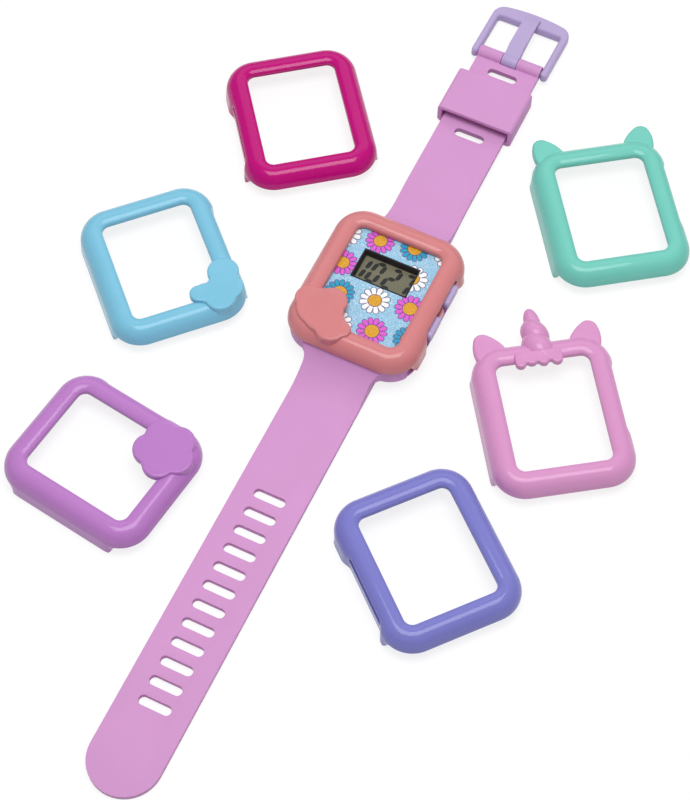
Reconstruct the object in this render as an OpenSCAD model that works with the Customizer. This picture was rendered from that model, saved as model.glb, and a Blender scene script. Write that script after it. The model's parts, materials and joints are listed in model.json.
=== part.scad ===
// Toy digital watch on a moulded strap, with one clip-on bezel fitted and six spare bezels beside it.
// Millimetres. The origin is the middle of the back cover's flat face, +Y runs to the buckle,
// +X to the two push buttons and +Z up through the display.

/* [Bezel] */
// Width of the bezel's window
window_w = 22; // [18:0.5:26]
// Length of the bezel's window
window_l = 27.5; // [24:0.5:32]
// Corner radius of the window
window_r = 2; // [1.5:0.1:3]
// Distance from the window's edge out to the crest of the frame
crest_out = 1.3; // [1:0.1:2]
// Radius of the frame's domed outer side
dome_r = 4.2; // [3.8:0.1:4.6]
// Height of the crest over the lip
crest_rise = 1.45; // [1:0.05:2]
// Wall thickness of the domed shell
bezel_wall = 1.3; // [1.2:0.1:1.5]
// Thickness of the lip at the window's edge
lip_t = 0.5; // [0.3:0.1:0.8]
// Depth of the long side skirts under the lip
skirt_drop = 5.8; // [5:0.1:6.4]
// Depth under the lip at which the skirt bands start
skirt_top = 2; // [1.6:0.1:2.6]
// Thickness of the skirt bands
skirt_t = 1.5; // [1.3:0.1:1.6]
// How far the skirt bands stand proud of the dome
skirt_proud = 0.25; // [0.1:0.05:0.5]
// Half length of the skirt bands
skirt_half_l = 13.2; // [12:0.1:14]
// Length of the recess round the buttons
notch_l = 18.2; // [16:0.1:20]
// Place of the middle of that recess along the bezel
notch_y = 1.9; // [0:0.1:3]
// Depth of the recess in the skirt
notch_d = 1.05; // [0.6:0.05:1.1]
// Depth under the lip of the button slot's lower edge
slot_low = 3.9; // [3.6:0.1:4.2]
// Depth under the lip of the button slot's upper edge
slot_high = 0.1; // [0:0.05:0.4]

/* [Ornaments] */
// Height of the ornaments' flat tops over the lip
plate_top = 2; // [1.6:0.1:2.6]
// Thickness of an ornament where it stands over the window
plate_t = 1.6; // [1.2:0.1:2]
// Reach of the butterfly from its middle to a wing's edge
butterfly_r = 7.2; // [6:0.1:7.4]
// Reach of the flower from its middle to a petal's edge
flower_r = 7.2; // [6:0.1:7.6]
// Distance from the window's end to the tip of an ear
ear_h = 8.1; // [7:0.1:9]
// Thickness of an ear
ear_t = 2.1; // [1.5:0.1:2.6]
// Largest radius of the twisted horn
horn_r = 3.6; // [3:0.1:4]
// Length of the twisted horn
horn_l = 10.4; // [9:0.1:11]

/* [Case] */
// Height of the fitted bezel's lip over the table
lip_z = 10; // [9.6:0.1:11]
// Wall thickness of the case
case_wall = 1.3; // [1:0.1:1.6]
// Thickness of the case's top under the face plate
case_top_t = 1; // [0.8:0.1:1.2]
// Thickness of the printed face plate
face_t = 0.85; // [0.6:0.05:1]
// How far the face plate reaches under the lip
face_margin = 1; // [0.6:0.1:1.2]
// Thickness of the back cover's flange
flange_t = 0.6; // [0.5:0.05:0.8]
// Thickness of the back cover
back_t = 1.2; // [1:0.1:1.4]
// Radius of the case's screw bosses
boss_r = 1.6; // [1.4:0.1:1.8]
// Radius of a screw's head
screw_head_r = 1.2; // [1:0.05:1.3]
// Radius of a screw's shank
screw_r = 0.6; // [0.5:0.05:0.7]
// Length of a screw's shank
screw_l = 4; // [3:0.1:5]

/* [Display] */
// Width of the display's opening in the face
display_w = 14.4; // [13:0.1:16]
// Height of the display's opening in the face
display_h = 8.5; // [8:0.1:10]
// Place of the display's middle along the case
display_y = 4.7; // [4:0.1:5]
// Wall thickness of the black display surround
surround_t = 0.6; // [0.4:0.05:0.8]
// Thickness of the display glass
glass_t = 0.85; // [0.7:0.05:1]
// Margin of the glass round the opening
glass_margin = 0.95; // [0.6:0.05:1.2]
// Height of the rubber contact strips
strip_h = 1.1; // [0.9:0.05:1.3]
// Thickness of a rubber contact strip
strip_t = 1; // [0.8:0.05:1.2]

/* [Module] */
// Half width of the module
module_half_w = 12; // [11:0.1:12.1]
// Half length of the module
module_half_l = 12.1; // [11.6:0.1:12.2]
// Thickness of the circuit board
board_t = 0.8; // [0.6:0.1:1]
// Radius of the coin cell
cell_r = 5.8; // [4.75:0.05:6]
// Thickness of the coin cell
cell_t = 2.1; // [1.6:0.05:2.2]
// Thickness of the metal contact strips
leaf_t = 0.2; // [0.15:0.05:0.25]
// Width of the metal contact strips
leaf_w = 2.6; // [2:0.1:3]
// Radius of the sealing drop over the chip
chip_r = 3.2; // [2.6:0.1:3.4]
// Height of the sealing drop over the chip
chip_h = 1.1; // [0.8:0.05:1.4]
// Radius of the crystal's can
crystal_r = 0.75; // [0.6:0.05:0.9]
// Length of the crystal's can
crystal_l = 5; // [4:0.1:6]

/* [Buttons] */
// Length of a button
button_l = 6.1; // [5:0.1:6.6]
// Height of a button
button_h = 2.6; // [2.2:0.1:2.8]
// How far a button's face stands out from the case
button_out = 1.35; // [1.2:0.05:1.6]
// Travel of a button
button_travel = 0.7; // [0.4:0.05:0.75]
// Distance between the two buttons' middles
button_pitch = 9.6; // [8:0.1:10]
// Radius of a button's stem
stem_r = 0.7; // [0.5:0.05:0.75]

/* [Strap] */
// Width of the strap
strap_w = 16.7; // [15:0.1:19]
// Thickness of the strap
strap_t = 1.5; // [1.2:0.1:2]
// Distance from the watch's middle to the strap's tip
tip_y = 131; // [120:0.5:145]
// Distance from the watch's middle to the buckle pin
pin_y = 79.1; // [74:0.1:84]
// Number of slots in the long strap
slot_n = 12; // [8:1:13]
// Spacing of the slots
slot_pitch = 4.9; // [4.2:0.1:5.2]
// Length of a slot
slot_l = 7.8; // [6:0.1:9]
// Width of a slot
slot_w = 2.3; // [1.8:0.1:2.6]
// Distance from the strap's tip to the last slot
tip_to_slot = 21.3; // [18:0.1:26]
// Distances from the buckle pin to the two slots of the short strap
end_slot_set = 5.1; // [4:0.1:6]
// Spacing of those two slots
end_slot_gap = 20.4; // [18:0.1:22]
// Height of the tray that holds the case
tray_h = 4; // [3.4:0.1:4.1]
// How far the tray reaches out from the window's edge
tray_out = 5; // [4.8:0.05:5.2]
// Height of the tray's slanted lower side
tray_slant_h = 3.5; // [2.5:0.1:3.8]
// How far that side slants in
tray_slant_in = 2.1; // [1:0.1:2.2]
// Thickness of the tray's clamped edge
tray_lip_t = 0.65; // [0.5:0.05:0.8]
// Height of the strap's root and of the tray's ends under the bezel
root_h = 7; // [6.4:0.1:7.1]
// Distance over which the root tapers down to the strap
root_l = 11.3; // [9:0.1:14]
// Radius of the flares between the strap and the tray
flare_r = 4; // [2:0.1:5]
// Height by which the keeper lifts the short strap
strap_lift = 1.15; // [1.1:0.05:1.4]
// Distance from the tray at which the short strap starts to rise
lift_start = 3.5; // [2:0.1:6]
// Distance over which it rises
lift_run = 13; // [10:0.1:16]

/* [Keeper] */
// Length of the keeper along the strap
keeper_l = 13.2; // [10:0.1:15]
// Wall thickness of the keeper's sides
keeper_side_t = 1.1; // [0.9:0.1:1.4]
// Thickness of the keeper's floor
keeper_floor_t = 0.9; // [0.7:0.05:1]
// Thickness of the keeper's top
keeper_top_t = 1.1; // [0.9:0.1:1.4]
// Height inside the keeper
keeper_inner_h = 4; // [3.6:0.1:4.4]
// Distance from the buckle pin to the keeper's middle
keeper_set = 16.1; // [14:0.1:18]
// Gap between the keeper's side and the strap
keeper_gap = 0.5; // [0.3:0.05:0.7]
// Outer corner radius of the keeper
keeper_r = 1.2; // [0.8:0.1:1.6]

/* [Buckle] */
// Radius of the rolls round the buckle pin
roll_r = 1.7; // [1.5:0.05:1.8]
// Height of the buckle pin over the table
pin_z = 2.5; // [2.2:0.05:2.7]
// Radius of the buckle pin
pin_r = 0.6; // [0.5:0.05:0.7]
// Width of a buckle arm
arm_w = 1.9; // [1.6:0.1:2.4]
// Height of the buckle frame
buckle_h = 2.6; // [2.2:0.1:3]
// Distance from the pin to the inner edge of the buckle's bar
bar_in = 12.7; // [11:0.1:15]
// Distance from the pin to the outer edge of the buckle's bar
bar_out = 16.9; // [15:0.1:19]
// Bow of the bar's outer edge
bar_bow = 1.3; // [0.8:0.1:2]
// Outer corner radius of the buckle
buckle_r = 3; // [2:0.1:4]
// Distance that the arms reach behind the pin
arm_tail = 1.5; // [1.3:0.1:2.2]
// Downward slope of the buckle at rest
buckle_slope = 4; // [2:0.5:5]
// Width of the tongue
tongue_w = 4; // [3:0.1:4.6]
// Thickness of the tongue
tongue_t = 1.2; // [0.9:0.1:1.4]
// How far the tongue's tip reaches over the bar
tongue_over = 2; // [1:0.1:3]

/* [Spare bezels] */
// Distance unit of the spare bezels' layout on the table
spare_spread = 50; // [48:1:70]

/* [Fits] */
// Gap between the bezel's shell and the case
bezel_gap = 0.3; // [0.2:0.05:0.35]
// Gap between the case and the strap's tray
tray_gap = 0.1; // [0.05:0.05:0.2]
// Gap round a plate in its recess
plate_gap = 0.15; // [0.1:0.05:0.2]
// Gap between faces that rest on each other
seat_gap = 0.05; // [0.03:0.01:0.08]
// Gap round a shaft in its bore
bore_gap = 0.05; // [0.03:0.01:0.08]
// Side gap beside a moving part
side_gap = 0.15; // [0.1:0.05:0.25]

/* [Hidden] */
$fn = 64;
over = 1;

// Bezel
half_w = window_w / 2;
half_l = window_l / 2;
dome_drop = dome_r - crest_rise;
dome_out = crest_out + dome_r;
skirt_out = dome_out + skirt_proud;
hollow_r = dome_r - bezel_wall;
hollow_deep = 2 * skirt_drop;
bezel_half_l = half_l + dome_out;

// Ornaments: places in shares of the window's half sizes, lobes in shares of the ornament's reach
butterfly_place_share = [-0.72, -0.87];
lobe_shares = [[-0.472, 0.146, 0.611], [-0.403, -0.132, 0.556], [0.097, 0.41, 0.528],
    [0.597, -0.438, 0.514], [0.194, -0.076, 0.486]];
small_butterfly_place_share = [0.9, -0.87];
small_lobe_shares = [[0.18, 0.62, 0.29], [-0.64, -0.075, 0.306], [-0.444, -0.097, 0.333],
    [-0.042, -0.478, 0.403], [0.458, -0.117, 0.389], [-0.014, -0.028, 0.458], [0.29, 0.272, 0.306]];
flower_place_share = [0.77, -0.82];
flower_turn = 48;
petal_n = 5;
petal_share = 0.49;
petal_reach_share = 1 - petal_share;
ear_flank_share = [1.325, 0.045, 0.986];
ear_back_share = [0.881, 0.435, 0.671];
ear_top = 0.15 * ear_t;
horn_tier_shares = [[0.13, 1, 0.42], [0.41, 0.83, 0.4], [0.66, 0.55, 0.27]];
horn_core_share = 0.7;
horn_tip_share = 0.14;
horn_tilt = 8;
horn_start = 0.83 * horn_r;
horn_z = plate_top - 0.9 * horn_r;
lock_place_shares = [-0.45, -0.28, -0.1, 0.08, 0.24, 0.36];
lock_r = 0.36 * dome_r;
lock_in = 0.4 * lock_r;
lock_out = 2 * crest_out;

// Case
case_out = dome_out - bezel_wall - bezel_gap;
case_round = case_out - crest_out;
face_top_z = lip_z - lip_t - 5 * seat_gap;
case_z = flange_t + seat_gap + tray_lip_t + seat_gap;
case_side_z = face_top_z - case_round;
recess_z = face_top_z - face_t - seat_gap;
cavity_z = recess_z - case_top_t;
cavity_out = case_out - case_wall;
cavity_r = window_r + cavity_out;
plug_out = 0.42 * case_out;
flange_out = 0.56 * case_out;
boss_reach = window_r + plug_out - screw_r - bore_gap - 5 * seat_gap;
boss_x = half_w - window_r + boss_reach * cos(45);
boss_y = half_l - window_r + boss_reach * sin(45);
boss_z = case_z;

// Display and module, from the top down
glass_z = cavity_z - seat_gap - glass_t;
strip_z = glass_z - seat_gap - strip_h;
board_z = strip_z - seat_gap - board_t;
glass_w = display_w + 2 * glass_margin;
glass_h = display_h + 2 * glass_margin;
strip_y = glass_h / 2 - strip_t;
holder_t = board_z - seat_gap - boss_z - 5 * seat_gap;
holder_z = boss_z + 5 * seat_gap;
cell_z = boss_z + leaf_t + 2 * seat_gap;
cell_x = -0.25 * module_half_w;
cell_y = -0.4 * module_half_l;
chip_x = 0.45 * module_half_w;
chip_y = 0.41 * module_half_l;
crystal_x = -0.5 * module_half_w;
crystal_y = 0.5 * module_half_l;

// Buttons
case_x = half_w + case_out;
cavity_x = half_w + cavity_out;
button_z = lip_z - slot_low + 2 * seat_gap + button_h / 2;
stem_z = button_z - 0.12 * button_h;
cap_in_x = case_x;
pocket_x = case_x - button_travel - side_gap;
barb_t = 0.57 * stem_r;
barb_r = 1.36 * stem_r;
stem_end_x = cavity_x - side_gap - barb_t;
groove_x = stem_end_x - button_travel - seat_gap;
groove_top = stem_z + barb_r + side_gap;
button_mid_y = notch_y - 2 * side_gap;

// Strap
tray_half_l = half_l + tray_out;
end_wall_y = skirt_half_l + bezel_gap + tray_gap;
root_y = tray_half_l;
slot_last_y = tip_y - tip_to_slot;
lift_y = tray_half_l + lift_start;
curve_n = 10;
strap_end_z = strap_lift;
gap_half_w = tongue_w / 2 + side_gap;
roll_back = roll_r + side_gap;

// Keeper and buckle
keeper_y = pin_y - keeper_set;
keeper_half_w = strap_w / 2 + keeper_gap + keeper_side_t;
keeper_z = strap_lift - side_gap - keeper_floor_t - seat_gap;
arm_in = strap_w / 2 + side_gap;
buckle_half_w = arm_in + arm_w;
bow_r = (buckle_half_w * buckle_half_w + bar_bow * bar_bow) / (2 * bar_bow);
tongue_root_turn = 60;

// Spare bezels: place in shares of the layout's unit, then the turn in degrees
magenta_place_share = [-0.786, 0.787];
magenta_turn = 217.7;
sky_place_share = [-0.997, -0.264];
sky_turn = 46;
violet_place_share = [-0.747, -1.29];
violet_turn = 82.2;
mint_place_share = [0.803, 0.932];
mint_turn = 35.5;
pink_place_share = [0.987, -0.209];
pink_turn = 34.7;
periwinkle_place_share = [0.765, -1.098];
periwinkle_turn = 229.3;

// Shared shapes

// Outline of the window grown by a distance on every side
module grown_window(grow) {
    rounded_outline(half_w + grow, half_l + grow, window_r + grow);
}

module rounded_outline(half_x, half_y, r) {
    square([2 * (half_x - r), 2 * half_y], center = true);
    square([2 * half_x, 2 * (half_y - r)], center = true);
    for (sx = [-1, 1], sy = [-1, 1])
        translate([sx * (half_x - r), sy * (half_y - r)])
            circle(r = r);
}

// A profile, drawn outward from the window's edge, carried once round the window
module round_the_window() {
    for (side = [0:3]) {
        reach = side % 2 == 0 ? half_w : half_l;
        run = side % 2 == 0 ? half_l : half_w;
        rotate([0, 0, 90 * side])
            translate([reach, 0, 0])
                rotate([90, 0, 0])
                    linear_extrude(2 * (run - window_r), center = true)
                        children();
        rotate([0, 0, 90 * side])
            translate([reach - window_r, run - window_r, 0])
                rotate_extrude(angle = 90)
                    translate([window_r, 0])
                        children();
    }
}

module slot_outline(l, w) {
    square([l - w, w], center = true);
    for (sx = [-1, 1])
        translate([sx * (l - w) / 2, 0])
            circle(r = w / 2);
}

// Bezels, each drawn about the middle of its own window, with the lip at zero height

module dome_quarter(r) {
    translate([crest_out, -dome_drop])
        intersection() {
            circle(r = r);
            square(dome_r + over);
        }
}

module bezel_solid_profile() {
    dome_quarter(dome_r);
    polygon([[0, 0], [crest_out, crest_rise], [crest_out, -dome_drop], [0, -dome_drop]]);
}

module bezel_hollow_profile() {
    dome_quarter(hollow_r);
    polygon([[0, -lip_t], [crest_out, hollow_r - dome_drop], [crest_out, -hollow_deep], [0, -hollow_deep]]);
    translate([crest_out, -hollow_deep])
        square([hollow_r, hollow_deep - dome_drop]);
}

module bezel_hollow() {
    round_the_window()
        bezel_hollow_profile();
    translate([0, 0, -hollow_deep])
        linear_extrude(hollow_deep - lip_t)
            grown_window(0);
}

module skirt_bands() {
    for (sx = [-1, 1])
        translate([sx * (half_w + skirt_out - skirt_t / 2), 0, -skirt_drop])
            linear_extrude(skirt_drop - skirt_top)
                rotate([0, 0, 90])
                    slot_outline(2 * skirt_half_l, skirt_t);
}

module button_recess() {
    translate([half_w + skirt_out - notch_d, notch_y, -skirt_drop - over])
        linear_extrude(skirt_drop + 2 * over)
            translate([dome_r, 0])
                rounded_outline(dome_r, notch_l / 2, notch_d);
    translate([half_w + crest_out, notch_y, -(slot_low + slot_high) / 2])
        rotate([90, 0, 90])
            linear_extrude(dome_r + over)
                slot_outline(notch_l, slot_low - slot_high);
}

// Gaps under the buttons, so that the fitted bezel lifts straight off over them
module rail_gaps() {
    at_buttons()
        translate([half_w + crest_out, -button_l / 2 - 2 * side_gap, -skirt_drop - over])
            cube([dome_r + over, button_l + 4 * side_gap, skirt_drop - slot_low + over + button_h / 2]);
}

// Post that ties the rail between the buttons to the dome, set back in the slot
module rail_post() {
    post_w = (button_pitch - button_l) / 3;
    post_h = (slot_low + skirt_drop) / 2;
    translate([half_w + dome_out - bezel_wall, button_mid_y - post_w / 2, -post_h])
        cube([bezel_wall - notch_d, post_w, post_h]);
}

module bezel() {
    difference() {
        union() {
            round_the_window()
                bezel_solid_profile();
            skirt_bands();
            children();
        }
        bezel_hollow();
        button_recess();
    }
}

// A flat ornament that stands on the frame and reaches a little over the window
module ornament_plate(place_share, reach) {
    translate([place_share[0] * half_w, place_share[1] * half_l, plate_top - plate_t])
        linear_extrude(plate_t)
            children();
    intersection() {
        translate([place_share[0] * half_w, place_share[1] * half_l, -dome_drop])
            linear_extrude(dome_drop + plate_top)
                children();
        round_the_window()
            translate([crest_out, -dome_drop])
                square([dome_r - lip_t, dome_drop + plate_top]);
    }
}

module wings(shares) {
    for (lobe = shares)
        translate([lobe[0] * butterfly_r, lobe[1] * butterfly_r])
            circle(r = lobe[2] * butterfly_r);
}

module petals() {
    circle(r = petal_share * flower_r);
    for (i = [0:petal_n - 1])
        rotate([0, 0, flower_turn + i * 360 / petal_n])
            translate([petal_reach_share * flower_r, 0])
                circle(r = petal_share * flower_r);
}

// One ear: the overlap of two arcs, places across in half widths and along in ear heights
module ear_arc(side, share) {
    translate([side * share[0] * half_w, share[1] * ear_h])
        circle(r = share[2] * ear_h);
}

module ear(side) {
    translate([0, half_l, ear_top - ear_t])
        linear_extrude(ear_t)
            intersection() {
                ear_arc(side, ear_flank_share);
                ear_arc(side, ear_back_share);
                translate([-2 * half_w, crest_out])
                    square([4 * half_w, ear_h]);
            }
}

module ears() {
    for (side = [-1, 1])
        ear(side);
}

// Horn of stacked, tilted rings on a round-nosed cone
module horn() {
    tip_r = horn_tip_share * horn_r;
    translate([0, half_l + horn_start, horn_z])
        rotate([-90, 0, 0]) {
            for (tier = horn_tier_shares)
                translate([0, 0, tier[0] * horn_l])
                    rotate([0, horn_tilt, 0])
                        ring_bead(tier[1] * horn_r, tier[2] * horn_r);
            cylinder(r1 = horn_core_share * horn_r, r2 = tip_r, h = horn_l - tip_r);
            translate([0, 0, horn_l - tip_r])
                sphere(r = tip_r);
        }
}

module ring_bead(ring_r, bead_r) {
    rotate_extrude()
        translate([ring_r - bead_r, 0])
            circle(r = bead_r);
    cylinder(r = ring_r - bead_r, h = 2 * bead_r, center = true);
}

// Scalloped lock of hair lying over the lip under the horn
module forelock() {
    translate([0, half_l, plate_top - plate_t])
        linear_extrude(plate_t) {
            translate([lock_place_shares[0] * half_w, 0])
                square([(lock_place_shares[5] - lock_place_shares[0]) * half_w, lock_out]);
            for (share = lock_place_shares)
                translate([share * half_w, -lock_in + lock_r * 0.5])
                    circle(r = lock_r);
        }
}

module on_table(place_share, turn) {
    translate([place_share[0] * spare_spread, place_share[1] * spare_spread, skirt_drop])
        rotate([0, 0, turn])
            children();
}

module bezel_coral() {
    color("#d98888")
        translate([0, 0, lip_z]) {
            difference() {
                bezel()
                    ornament_plate(butterfly_place_share, butterfly_r)
                        wings(lobe_shares);
                rail_gaps();
            }
            rail_post();
        }
}

module bezel_magenta() {
    color("#c8148c")
        on_table(magenta_place_share, magenta_turn)
            bezel();
}

module bezel_sky() {
    color("#82c6e2")
        on_table(sky_place_share, sky_turn)
            bezel()
                ornament_plate(small_butterfly_place_share, butterfly_r)
                    wings(small_lobe_shares);
}

module bezel_violet() {
    color("#be82cc")
        on_table(violet_place_share, violet_turn)
            bezel()
                ornament_plate(flower_place_share, flower_r)
                    petals();
}

module bezel_mint() {
    color("#7dd6c6")
        on_table(mint_place_share, mint_turn)
            bezel()
                ears();
}

module bezel_pink() {
    color("#da96c6")
        on_table(pink_place_share, pink_turn)
            bezel() {
                ears();
                horn();
                forelock();
            }
}

module bezel_periwinkle() {
    color("#8a8ad6")
        on_table(periwinkle_place_share, periwinkle_turn)
            bezel();
}

// Case

module display_outline(w, h) {
    translate([0, display_y])
        square([w, h], center = true);
}

module case_outside() {
    translate([0, 0, case_z])
        linear_extrude(case_side_z - case_z)
            grown_window(case_out);
    translate([0, 0, case_side_z]) {
        round_the_window()
            translate([crest_out, 0])
                intersection() {
                    circle(r = case_round);
                    square(case_round);
                }
        linear_extrude(case_round)
            grown_window(crest_out);
    }
}

module at_bosses() {
    for (sx = [-1, 1], sy = [-1, 1])
        translate([sx * boss_x, sy * boss_y, 0])
            children();
}

module at_buttons() {
    for (sy = [-1, 1])
        translate([0, button_mid_y + sy * button_pitch / 2, 0])
            children();
}

module case_shell() {
    color("#c3b0dc")
        difference() {
            union() {
                difference() {
                    case_outside();
                    translate([0, 0, case_z - over])
                        linear_extrude(cavity_z - case_z + over)
                            grown_window(cavity_out);
                }
                translate([0, 0, boss_z])
                    at_bosses()
                        cylinder(r = boss_r, h = cavity_z - boss_z + seat_gap);
            }
            translate([0, 0, recess_z])
                linear_extrude(face_t + over)
                    grown_window(face_margin + plate_gap);
            translate([0, 0, cavity_z - over])
                linear_extrude(case_top_t + 2 * over)
                    display_outline(display_w, display_h);
            translate([0, 0, boss_z - over])
                at_bosses()
                    cylinder(r = screw_r + bore_gap, h = screw_l + 2 * over);
            at_buttons() {
                translate([pocket_x, -button_l / 2 - side_gap, button_z - button_h / 2 - side_gap])
                    cube([over + button_travel, button_l + 2 * side_gap, button_h + over]);
                translate([groove_x, 0, stem_z])
                    rotate([0, 90, 0])
                        cylinder(r = stem_r + bore_gap, h = case_x - groove_x);
                translate([groove_x, -barb_r - side_gap, cavity_z - over])
                    cube([cavity_x - groove_x, 2 * (barb_r + side_gap), groove_top - cavity_z + over]);
            }
        }
}

module back_cover() {
    color("#b9b4bd")
        difference() {
            union() {
                linear_extrude(flange_t)
                    grown_window(flange_out);
                linear_extrude(back_t)
                    grown_window(plug_out);
            }
            at_bosses() {
                translate([0, 0, -over])
                    cylinder(r = screw_r + bore_gap, h = back_t + 2 * over);
                translate([0, 0, -over])
                    cylinder(r = screw_head_r + bore_gap, h = flange_t + seat_gap + over);
            }
        }
}

module back_screws() {
    color("#b4b6ba")
        at_bosses()
            difference() {
                union() {
                    translate([0, 0, seat_gap])
                        cylinder(r = screw_head_r, h = flange_t - seat_gap);
                    translate([0, 0, seat_gap])
                        cylinder(r = screw_r, h = back_t + screw_l);
                }
                for (turn = [0, 90])
                    rotate([0, 0, turn])
                        cube([1.3 * screw_head_r, 0.25 * screw_head_r, flange_t], center = true);
            }
}

module face_plate() {
    color("#a5d2eb")
        translate([0, 0, recess_z + seat_gap])
            difference() {
                linear_extrude(face_t)
                    grown_window(face_margin);
                translate([0, 0, -over])
                    linear_extrude(face_t + 2 * over)
                        display_outline(display_w, display_h);
            }
}

module display_surround() {
    color("#1c1a20")
        translate([0, 0, cavity_z])
            linear_extrude(face_top_z - cavity_z + seat_gap)
                difference() {
                    display_outline(display_w - 2 * plate_gap, display_h - 2 * plate_gap);
                    display_outline(display_w - 2 * (plate_gap + surround_t),
                        display_h - 2 * (plate_gap + surround_t));
                }
}

module display_glass() {
    color("#8c876e")
        translate([0, 0, glass_z])
            linear_extrude(glass_t)
                display_outline(glass_w, glass_h);
}

module at_strips() {
    for (sy = [-1, 1])
        translate([0, display_y + sy * strip_y, 0])
            children();
}

module contact_strips() {
    color("#e08ca0")
        translate([0, 0, strip_z])
            at_strips()
                linear_extrude(strip_h)
                    square([display_w, strip_t], center = true);
}

// Outline of the module's plates, scooped out round the case's screw bosses
module module_outline() {
    difference() {
        square([2 * module_half_w, 2 * module_half_l], center = true);
        at_bosses()
            circle(r = boss_r + 3 * plate_gap);
    }
}

module module_frame() {
    color("#e8e6e2")
        translate([0, 0, strip_z])
            difference() {
                linear_extrude(cavity_z - seat_gap - strip_z)
                    module_outline();
                translate([0, 0, strip_h])
                    linear_extrude(glass_t + over)
                        display_outline(glass_w + 2 * plate_gap, glass_h + 2 * plate_gap);
                translate([0, 0, -over])
                    at_strips()
                        linear_extrude(strip_h + 2 * over)
                            square([display_w + 2 * plate_gap, strip_t + 2 * plate_gap], center = true);
                translate([0, 0, -over])
                    linear_extrude(strip_h + 2 * over)
                        display_outline(display_w, display_h / 2);
                translate([0, -module_half_l / 2 - strip_t, strip_h / 2])
                    linear_extrude(strip_h + glass_t)
                        square([display_w, module_half_l / 2], center = true);
            }
}

module circuit_board() {
    color("#2f7d4a")
        translate([0, 0, board_z])
            linear_extrude(board_t)
                difference() {
                    module_outline();
                    for (sx = [-1, 1])
                        translate([sx * module_half_w, 0])
                            circle(r = boss_r);
                }
}

module chip_cap() {
    color("#17171a")
        translate([chip_x, chip_y, board_z - seat_gap])
            intersection() {
                translate([0, 0, (chip_r * chip_r - chip_h * chip_h) / (2 * chip_h)])
                    sphere(r = (chip_r * chip_r + chip_h * chip_h) / (2 * chip_h));
                translate([-2 * chip_r, -2 * chip_r, -2 * chip_h])
                    cube([4 * chip_r, 4 * chip_r, 2 * chip_h]);
            }
}

module crystal_can() {
    color("#c6c8cc")
        translate([crystal_x, crystal_y, board_z - seat_gap - crystal_r])
            rotate([0, 90, 0])
                cylinder(r = crystal_r, h = crystal_l, center = true);
}

module battery_holder() {
    color("#dcdad4")
        translate([0, 0, holder_z])
            difference() {
                linear_extrude(holder_t)
                    module_outline();
                translate([cell_x, cell_y, -over])
                    cylinder(r = cell_r + plate_gap, h = holder_t + 2 * over);
                translate([0, chip_y, -over])
                    linear_extrude(holder_t + 2 * over)
                        square([2 * (module_half_w - strip_t), 2 * (chip_r + plate_gap)], center = true);
                translate([cell_x, cell_y, -over])
                    linear_extrude(leaf_t + over + 2 * seat_gap)
                        square([leaf_w + 2 * plate_gap, 2 * (cell_r + leaf_w)], center = true);
            }
}

module coin_cell() {
    color("#c9cbd0")
        translate([cell_x, cell_y, cell_z]) {
            cylinder(r = cell_r, h = cell_t - leaf_t);
            cylinder(r = cell_r - 2 * leaf_t, h = cell_t);
        }
}

// Bent leaf that rises from the cell to the board
module battery_spring() {
    rise = board_z - seat_gap - (cell_z + cell_t) - leaf_t - seat_gap;
    run = cell_r;
    color("#d8c27a")
        translate([cell_x + leaf_w / 2, cell_y, cell_z + cell_t + seat_gap])
            rotate([90, 0, -90])
                linear_extrude(leaf_w)
                    polygon([[-run / 2, 0], [-run / 4, 0], [run / 4, rise], [run / 2, rise],
                        [run / 2, rise + leaf_t], [run / 4 - leaf_t, rise + leaf_t],
                        [-run / 4 - leaf_t, leaf_t], [-run / 2, leaf_t]]);
}

module battery_clip() {
    color("#c8cacf")
        translate([cell_x, cell_y, boss_z + seat_gap])
            linear_extrude(leaf_t)
                square([leaf_w, 2 * (cell_r + leaf_w / 2)], center = true);
}

// Spring strip on the module's side, one finger for each button's stem
module side_contact() {
    color("#d8c27a")
        translate([module_half_w + seat_gap, 0, strip_z])
            difference() {
                translate([0, button_mid_y - button_pitch / 2 - leaf_w / 2, 0])
                    cube([leaf_t, button_pitch + leaf_w, cavity_z - seat_gap - strip_z]);
                translate([-over, button_mid_y - button_pitch / 2 + leaf_w / 2, strip_t])
                    cube([leaf_t + 2 * over, button_pitch - leaf_w, cavity_z]);
            }
}

// A push button: rounded bar, stem and the barb that keeps it in the case
module push_button() {
    translate([cap_in_x, 0, button_z])
        rotate([90, 0, 90])
            linear_extrude(button_out)
                rounded_outline(button_l / 2, button_h / 2, button_h * 0.4);
    translate([stem_end_x, 0, stem_z])
        rotate([0, 90, 0])
            cylinder(r = stem_r, h = cap_in_x - stem_end_x + bore_gap);
    translate([stem_end_x, 0, stem_z])
        rotate([0, 90, 0])
            cylinder(r = barb_r, h = barb_t);
}

module upper_button() {
    color("#c3aedf")
        translate([0, button_mid_y + button_pitch / 2, 0])
            push_button();
}

module lower_button() {
    color("#c3aedf")
        translate([0, button_mid_y - button_pitch / 2, 0])
            push_button();
}

// Strap

// Height of the strap's upper side over its lower side at a distance past the tray
function root_rise(d) =
    let (r = (root_l * root_l + pow(root_h - strap_t, 2)) / (2 * (root_h - strap_t)))
    d >= root_l ? 0 : r - sqrt(r * r - pow(root_l - d, 2));

// Smooth step from 0 to 1
function eased(u) =
    let (v = max(0, min(1, u)))
    v * v * (3 - 2 * v);

function short_lift(y) = strap_lift * eased((y - lift_y) / lift_run);

root_steps = [for (i = [1:curve_n]) root_l * i / curve_n];
lift_steps = [for (i = [0:curve_n]) lift_run * i / curve_n];

// Side view of the long strap, distance first and height second
long_side = concat(
    [[0, 0], [0, root_h], [root_y, root_h]],
    [for (d = root_steps) [root_y + d, strap_t + root_rise(d)]],
    [[tip_y, strap_t], [tip_y, 0]]);

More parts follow.
